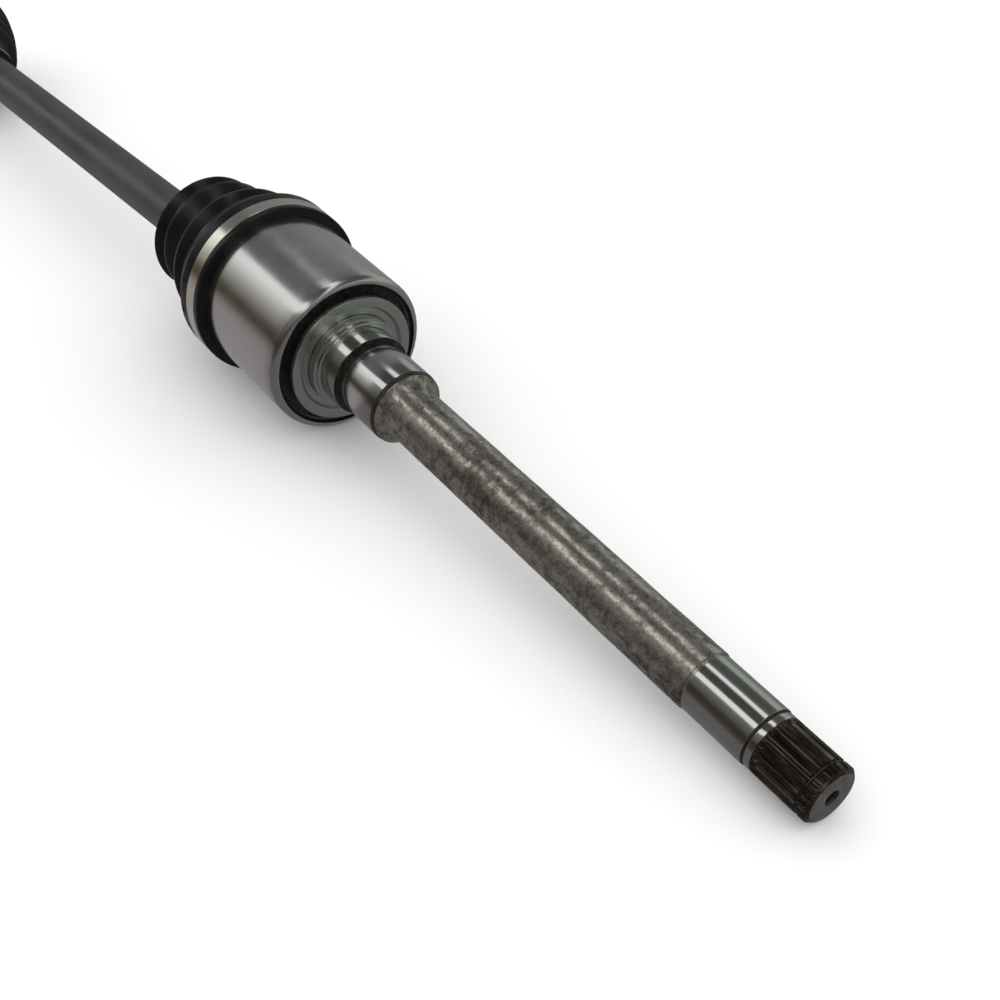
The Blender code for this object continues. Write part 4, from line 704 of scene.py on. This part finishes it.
front_out = boot_head() + moulded(FOLDS[:SPLIT + 1])
front_in = list(reversed(moulded([(46.3, 46.6)] + FOLDS[1:SPLIT + 1], inside=True)))
front = [(-x, r) for x, r in front_out + front_in + [(46.3, CAN_R + 0.05)]]
rear_out = moulded(FOLDS[SPLIT:]) + softened([(CUFF, CUFF_R), (CUFF + 3, CUFF_R),
                                              (CUFF + CUFF_LENGTH, CUFF_R),
                                              (CUFF + CUFF_LENGTH, BAR_R + 0.04)], 0.9, 5)[1:]
rear_in = [(CUFF, BAR_R + 0.04)] + list(reversed(moulded(FOLDS[SPLIT:-1], inside=True)))
rear = [(-x, r) for x, r in rear_out + rear_in]
print("boot wall points:", len(front), "and", len(rear))

# %% Inner boot in two lengths
START, END = 46.3, CUFF
for name, outline, a, b, first, last in (
        ("inboard_boot_front", front, "tulip_shaft", "inboard_boot", START, FOLDS[SPLIT][0]),
        ("inboard_boot_rear", rear, "inboard_boot", "axle_bar", FOLDS[SPLIT][0], FOLLOWS_BAR)):
    boot = swung(skin(name, outline, SMOOTH_TURNS, STUB, closed=True), START, END, BEND_ANGLE)
    wear(boot, RUBBER)
    settle(boot, "inboard_boot")
    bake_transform(boot)

# %% Outer boot
OUTER_LIP, OUTER_BAND_AT, OUTER_CUFF, OUTER_BEAD_R, BELL_SEAT_R = -1.0, 3.6, 92.0, 47.2, 43.0
OUTER_FOLDS = [(17.9, 47.2), (29.0, 46.4), (37.0, 37.0), (45.0, 42.2), (52.5, 32.6), (60.0, 37.2),
               (67.0, 28.6), (74.0, 32.0), (81.5, 22.6), (OUTER_CUFF, CUFF_R)]


def outer_outline():
    seat = OUTER_BEAD_R - BAND_THICKNESS - 0.1
    end = OUTER_BAND_AT + BAND_WIDTH
    head = softened([(OUTER_LIP, BELL_SEAT_R + 0.05), (OUTER_LIP, OUTER_BEAD_R),
                     (OUTER_BAND_AT - 0.2, OUTER_BEAD_R), (OUTER_BAND_AT - 0.1, seat),
                     (end + 0.1, seat), (end + 0.2, OUTER_BEAD_R),
                     OUTER_FOLDS[0]], 0.8, 5)
    cuff = softened([(OUTER_CUFF, CUFF_R), (OUTER_CUFF + 3, CUFF_R), (OUTER_CUFF + CUFF_LENGTH, CUFF_R),
                     (OUTER_CUFF + CUFF_LENGTH, BAR_R + 0.04)], 0.9, 5)[1:]
    inside = list(reversed(moulded([(18.3, 44.6)] + OUTER_FOLDS[1:-1], inside=True)))
    outline = head + moulded(OUTER_FOLDS) + cuff + [(OUTER_CUFF, BAR_R + 0.04)] + inside
    return outline + [(18.3, BELL_SEAT_R + 0.05)]


outer_boot = skin("outboard_boot_fine", outer_outline(), SMOOTH_TURNS, WHEEL, closed=True)
wear(outer_boot, RUBBER)
settle(outer_boot, "outboard_boot")
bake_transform(outer_boot)

# %% [markdown]
# ## The bands
# Each boot end is held by a steel band with a crimped ear: the ear is the loop that pliers close
# to pull the band tight. The strap keeps one thickness all the way, so both its faces follow the
# same radius, which leaves the circle only over the ear.

# %% Bands with their ears
EAR_AT = math.radians(52.5)
EAR_HALF, EAR_HEIGHT = 4.2, 2.6


def strap_radius(turn, inner_r, height):
    """The strap's inner radius: a circle, raised over the ear, with a pinch at each side of it."""
    off = ((turn - EAR_AT + math.pi) % (2 * math.pi) - math.pi) * inner_r
    lift = ease((EAR_HALF + 0.9 - np.abs(off)) / 1.8)
    pinch = np.exp(-((np.abs(off) - EAR_HALF * 0.72) / 0.9) ** 2)
    return inner_r + height * lift * (1 - 0.12 * pinch)


def band(name, inner_r, thickness, start, width, height, axis, body, node):
    count = 480
    inside = strap_radius(angles(count), inner_r, height)
    edge = 0.16
    section = [(edge, 1), (0, 1 - edge / thickness), (0, edge / thickness), (edge, 0),
               (width - edge, 0), (width, edge / thickness), (width, 1 - edge / thickness), (width - edge, 1)]
    rings = [(start + x, inside + thickness * up) for x, up in section]
    piece = skin(name, rings, count, axis, closed=True)
    wear(piece, BAND)
    settle(piece, node)
    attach(piece, body)


SMALL_BAND_WIDTH, SMALL_BAND_THICKNESS = 6.5, 0.7
SMALL_INSET = (CUFF_LENGTH - SMALL_BAND_WIDTH) / 2
band("inboard_large_band_fine", BEAD_R - BAND_THICKNESS, BAND_THICKNESS, -BAND_AT - BAND_WIDTH, BAND_WIDTH,
     EAR_HEIGHT, STUB, "tulip_shaft", "inboard_large_band")
band("inboard_small_band_fine", CUFF_R, SMALL_BAND_THICKNESS, -CUFF - SMALL_INSET - SMALL_BAND_WIDTH,
     SMALL_BAND_WIDTH, EAR_HEIGHT, BAR, "axle_bar", "inboard_small_band")
band("outboard_large_band_fine", OUTER_BEAD_R - BAND_THICKNESS, BAND_THICKNESS, OUTER_BAND_AT, BAND_WIDTH,
     EAR_HEIGHT, WHEEL, "wheel_bell", "outboard_large_band")
band("outboard_small_band_fine", CUFF_R, SMALL_BAND_THICKNESS, OUTER_CUFF + SMALL_INSET, SMALL_BAND_WIDTH,
     EAR_HEIGHT, WHEEL, "axle_bar", "outboard_small_band")

# %% [markdown]
# ## The bar
# A plain painted bar, slimmer inside the cup, with splines at both ends that carry the spider and
# the ball joint's inner race. A clip groove behind each spline keeps them on.

# %% Bar
BAR_NECK_R, NECK_END, BAR_SPLINE_R = 11.8, 72.3, 11.6
SHOULDER = 11.3


def bar_end(origin, side, neck_r, teeth):
    """The splined end, from the bar outwards, as places along the bar's axis."""
    local = [(-SHOULDER - 5.0, neck_r), (-SHOULDER - 0.4, BAR_SPLINE_R + 0.2), (-SHOULDER, teeth),
             (0.0, teeth), (SHOULDER, teeth), (SHOULDER, 10.4), (SHOULDER + 1.7, 10.4),
             (SHOULDER + 1.7, teeth),
             (SHOULDER + 3.4, teeth), (SHOULDER + 4.5, 10.6), (SHOULDER + 4.5, 0)]
    return [(origin + side * x, r) for x, r in local]


bar_teeth = splined(BAR_SPLINE_R, 0.9, SPLINE_TEETH, TURNS)
neck = [(-NECK_END, BAR_NECK_R), *[(-NECK_END - 8 * t, BAR_NECK_R + (BAR_R - BAR_NECK_R) * float(ease(t)))
                               for t in (0.25, 0.5, 0.75, 1.0)]]
shank = [(x, BAR_R) for x in np.linspace(-NECK_END - 16, -BAR_SPAN + 26, 24)]
bar = skin("axle_bar_fine", [*reversed(bar_end(0.0, 1, BAR_NECK_R, bar_teeth)), *neck, *shank,
                             *bar_end(-BAR_SPAN, -1, BAR_R, bar_teeth)], TURNS, BAR)
wear(bar, PAINT, OXIDE, rule=lambda at, radius: 0 if -BAR_SPAN + 16 < at < -16 else 1)
settle(bar, "axle_bar")
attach(bar, "axle_bar")

# %% [markdown]
# ## The wheel's bell
# The outer joint's bell has six ball tracks inside, bent round the joint's centre so that the
# balls stay in the plane that halves the angle. A track is a torus, and solving the torus for
# the radius at one place and angle gives the wall without any cutting tool.
# Outside it has 30 splines for the hub and a real screw thread, whose radius depends on the place
# and the angle together.

# %% Ball tracks
BELL_BORE_R, BALL_PITCH_R, TRACK_R, BALL_COUNT = 32.4, 30.0, 9.8, 6
BELL_R, BELL_MOUTH, BELL_FLOOR = 49.0, 18.0, 27.0
BELL_TURNS = 240


def track_radius(at):
    """How far out the ball tracks reach at one place along the axis, for each angle."""
    off = (angles(BELL_TURNS) - math.pi) % (2 * math.pi / BALL_COUNT)
    off = np.minimum(off, 2 * math.pi / BALL_COUNT - off)
    k = at ** 2 + BALL_PITCH_R ** 2 - TRACK_R ** 2
    half = k - 2 * (BALL_PITCH_R * np.cos(off)) ** 2
    root = np.maximum(half ** 2 - k ** 2 + (2 * BALL_PITCH_R * at) ** 2, 0.0)
    return np.sqrt(np.maximum(-half + np.sqrt(root), 0.0))


def bell_inside():
    rings = []
    for at in np.linspace(BELL_MOUTH, -BELL_FLOOR + 2.0, 18):
        bore = math.sqrt(max(BELL_BORE_R ** 2 - min(at, 9.0) ** 2, 0.0)) + max(at - 9.0, 0.0) * 0.72
        rings.append((at, np.maximum(bore, track_radius(at))))
    return rings + [(-BELL_FLOOR, 14.0), (-BELL_FLOOR, 0)]


# %% Thread, splines and the whole bell
THREAD_R, THREAD_PITCH, THREAD_DEPTH = 11.5, 1.5, 0.85
WHEEL_SPLINE_R, WHEEL_TEETH = 14.2, 30
THREAD_START, STUB_END = 90.6, 112.0


def thread_ring(d):
    """A ring of the thread at a distance from the joint's centre."""
    share = (d / THREAD_PITCH - angles(BELL_TURNS) / (2 * math.pi)) % 1.0
    crest = np.clip(1.25 - 2.5 * np.abs(share - 0.5), 0.0, 1.0)
    fade = float(ease((STUB_END - 0.4 - d) / 1.6) * ease((d - THREAD_START - 0.5) / 1.2))
    return THREAD_R - THREAD_DEPTH * (1 - crest) * fade - 1.2 * float(ease((d - STUB_END + 1.6) / 1.6))


def bell_outside():
    teeth = splined(WHEEL_SPLINE_R, 1.1, WHEEL_TEETH, BELL_TURNS)
    body = softened([(-18.0, 42.3), (-17.4, 43.0), (3.0, 43.0), (4.0, BELL_R - 0.9), (4.9, BELL_R),
                     (34.0, BELL_R), (36.0, 47.0), (44.0, 33.0), (47.0, 31.0), (47.01, 20.0), (50.0, 20.0),
                     (51.5, 13.9)], 0.6, 4)
    spline = [(51.6, 13.0), *[(d, teeth) for d in np.linspace(53.0, 88.6, 12)],
              (89.6, np.minimum(teeth, 13.3)), (90.2, 12.0), (90.6, THREAD_R - THREAD_DEPTH * 0.9)]
    thread = [(d, thread_ring(d)) for d in np.arange(THREAD_START + 0.3, STUB_END - 0.05, 0.19)]
    end = [(STUB_END, 10.3), (STUB_END, 4.0), (STUB_END - 0.9, 3.0), (STUB_END - 5.0, 2.9),
           (STUB_END - 7.0, 0)]
    return [(-d, r) for d, r in body + spline + thread + end]


def bell_finish(at, radius):
    d = -at
    if 34.5 < d < 46.9 or (4.5 < d <= 34.5 and radius > 47.5):
        return 0
    # Painted shade: the drill hole in the stub's end wears the near-black recess finish.
    if d > STUB_END - 7.1 and radius < 3.6:
        return 2
    return 1


bell = skin("wheel_bell_fine", list(reversed(bell_inside())) + bell_outside(), BELL_TURNS, WHEEL)
wear(bell, PHOSPHATE, ground_steel("machined_stub", grey=0.5, rough=(0.2, 0.32)), PAINTED_SHADE, rule=bell_finish)
settle(bell, "wheel_bell")
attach(bell, "wheel_bell")

# %% [markdown]
# ## Inside the joints
# The spider, rollers, needles, cage, balls and clips are right as they are in the frame, so they
# keep their shape and only get their finish: polished bearing steel, or black oxide for clips.

# %% Finishes for the inner pieces
for name, node in frame["nodes"].items():
    if node.hide_render:
        continue
    node.data.materials.clear()
    node.data.materials.append(OXIDE if "clip" in name else POLISHED)
    print("kept from the frame:", name)

# %% [markdown]
# ## Floor, light and camera
# Polished steel shows the room more than itself. The studio is a world whose brightness depends
# mostly on the direction round the axle's length: two long strips overhead, a dark ceiling between
# them, a dark horizon and a grey table below. That is what paints the crisp lines on the lands.
# The floor is nearly white to the eye but hidden from mirrors, as a product shot's cut-out is.

# %% Floor
floor_mesh = bpy.data.meshes.new("floor")
FLOOR_HALF = 6.0
floor_mesh.from_pydata([(-FLOOR_HALF, -FLOOR_HALF, 0), (FLOOR_HALF, -FLOOR_HALF, 0),
                        (FLOOR_HALF, FLOOR_HALF, 0), (-FLOOR_HALF, FLOOR_HALF, 0)], [], [(0, 1, 2, 3)])
floor = bpy.data.objects.new("floor", floor_mesh)
floor.location.z = -0.0003
bpy.context.scene.collection.objects.link(floor)
pale = Finish("pale_floor", metallic=0.0, specular=0.0)
mottle = pale.noise(3, detail=3)
pale_shade = pale.ramp(mottle, (0.3, 0.9), (0.7, 0.915))
pale_dull = pale.ramp(mottle, (0.3, 0.9), (0.7, 0.95))
floor_mesh.materials.append(pale.use(pale_shade, pale_dull))
floor.visible_glossy = False

# %% [markdown]
# The strips are drawn as a colour ramp over the angle round the X axis, from 0 at the horizon on
# the camera's side, over 90 straight up, to 180 at the far horizon, and below for the table.
# Reflections from far down the axle, such as the can's, look past the strips' ends into one broad
# soft box instead, so the world mixes a second ramp in there.

# %% World
STRIPS = [(-180, (0.22, 0.23, 0.22)), (-90, (0.17, 0.165, 0.165)), (-50, (0.16, 0.152, 0.15)),
          (-22, (0.16, 0.152, 0.15)), (-10, (0.08, 0.075, 0.07)), (2, (0.042, 0.034, 0.026)),
          (15, (0.046, 0.038, 0.029)), (24, (0.1, 0.095, 0.088)), (40, (0.17, 0.165, 0.16)),
          (49, (0.24, 0.24, 0.235)), (51, (1.15, 1.15, 1.12)), (65, (1.15, 1.15, 1.12)),
          (67, (0.07, 0.068, 0.066)), (94, (0.06, 0.058, 0.058)), (98, (1.1, 1.1, 1.07)),
          (107, (1.1, 1.1, 1.07)), (110, (0.14, 0.14, 0.14)), (124, (0.08, 0.08, 0.078)),
          (146, (0.1, 0.11, 0.1)), (153, (0.42, 0.47, 0.42)), (172, (0.4, 0.45, 0.41)),
          (180, (0.22, 0.23, 0.22))]
SOFT_BOX = [(-180, (0.24, 0.24, 0.24)), (-60, (0.39, 0.36, 0.365)), (-16, (0.37, 0.345, 0.35)),
            (-6, (0.25, 0.23, 0.22)), (3, (0.07, 0.055, 0.038)), (12, (0.09, 0.07, 0.048)),
            (18, (0.17, 0.155, 0.13)), (24, (0.31, 0.3, 0.28)), (34, (0.5, 0.49, 0.47)),
            (44, (0.85, 0.85, 0.83)), (52, (1.05, 1.06, 1.04)), (63, (1.2, 1.21, 1.2)),
            (66, (0.2, 0.2, 0.2)), (76, (0.15, 0.15, 0.155)), (90, (0.14, 0.14, 0.147)),
            (110, (0.17, 0.168, 0.17)), (150, (0.26, 0.262, 0.26)), (180, (0.24, 0.24, 0.24))]
STRIP_END = (-0.714, -0.706)   # how steeply along the axle a reflection looks where the strips end

world = bpy.data.worlds.new("studio")
world.use_nodes = True
bpy.context.scene.world = world
tree = world.node_tree
tree.nodes.clear()


def add(kind, inputs=(), **settings):
    made = tree.nodes.new(kind)
    for key, value in settings.items():
        setattr(made, key, value)
    for key, value in dict(inputs).items():
        if isinstance(value, bpy.types.NodeSocket):
            tree.links.new(value, made.inputs[key])
        else:
            made.inputs[key].default_value = value
    return made


def lights_ramp(angle, stops):
    made = add("ShaderNodeValToRGB", {"Fac": angle})
    elements = made.color_ramp.elements
    while len(elements) < len(stops):
        elements.new(0.5)
    for element, (degrees, colour) in zip(elements, stops):
        element.position = (degrees + 180) / 360
        element.color = (*colour, 1.0)
    return made.outputs["Color"]


looking = add("ShaderNodeTexCoord").outputs["Generated"]
direction = add("ShaderNodeSeparateXYZ", {0: looking})
towards = add("ShaderNodeMath", {0: direction.outputs["Y"], 1: -1.0}, operation='MULTIPLY')
around = add("ShaderNodeMath", {0: direction.outputs["Z"], 1: towards.outputs[0]}, operation='ARCTAN2')
share = add("ShaderNodeMapRange", {"Value": around.outputs[0], "From Min": -math.pi, "From Max": math.pi})
along = add("ShaderNodeVectorMath", {0: looking, 1: STUB.to_3x3() @ Vector((1, 0, 0))},
            operation='DOT_PRODUCT')
past = add("ShaderNodeMapRange", {"Value": along.outputs["Value"], "From Min": STRIP_END[0],
                                  "From Max": STRIP_END[1], "To Min": 1.0, "To Max": 0.0})
mixed = add("ShaderNodeMix", data_type='RGBA')
tree.links.new(past.outputs[0], mixed.inputs[0])
tree.links.new(lights_ramp(share.outputs[0], STRIPS), mixed.inputs[6])
tree.links.new(lights_ramp(share.outputs[0], SOFT_BOX), mixed.inputs[7])
mirrored = add("ShaderNodeBackground", {"Color": mixed.outputs[2], "Strength": 1.0})
seen = add("ShaderNodeBackground", {"Color": (1, 1, 1, 1), "Strength": 1.2})
rays = add("ShaderNodeLightPath")
either = add("ShaderNodeMixShader", {0: rays.outputs["Is Glossy Ray"], 1: seen.outputs[0],
                                     2: mirrored.outputs[0]})
add("ShaderNodeOutputWorld", {"Surface": either.outputs[0]})
print("world ramps:", len(STRIPS), "and", len(SOFT_BOX), "stops")

# %% Camera
camera_data = bpy.data.cameras.new("camera")
LENS = 51.235
CAMERA_FROM_END = Vector((0.22209, -0.32397, 0.41751))   # metres from the splined end
camera_data.lens = LENS
camera_data.sensor_width = 36.0
camera_data.clip_start = 0.02
camera = bpy.data.objects.new("camera", camera_data)
bpy.context.scene.collection.objects.link(camera)
splined_end = STUB @ Vector((STUB_REACH * MM, 0, 0))
camera.location = splined_end + CAMERA_FROM_END
AZIMUTH, ELEVATION = math.radians(53.39), math.radians(36.51)
camera.rotation_euler = (math.pi / 2 - ELEVATION, 0, AZIMUTH)
bpy.context.scene.camera = camera
bpy.context.scene.view_settings.view_transform = 'Standard'
print("camera at", [round(c, 3) for c in camera.location])
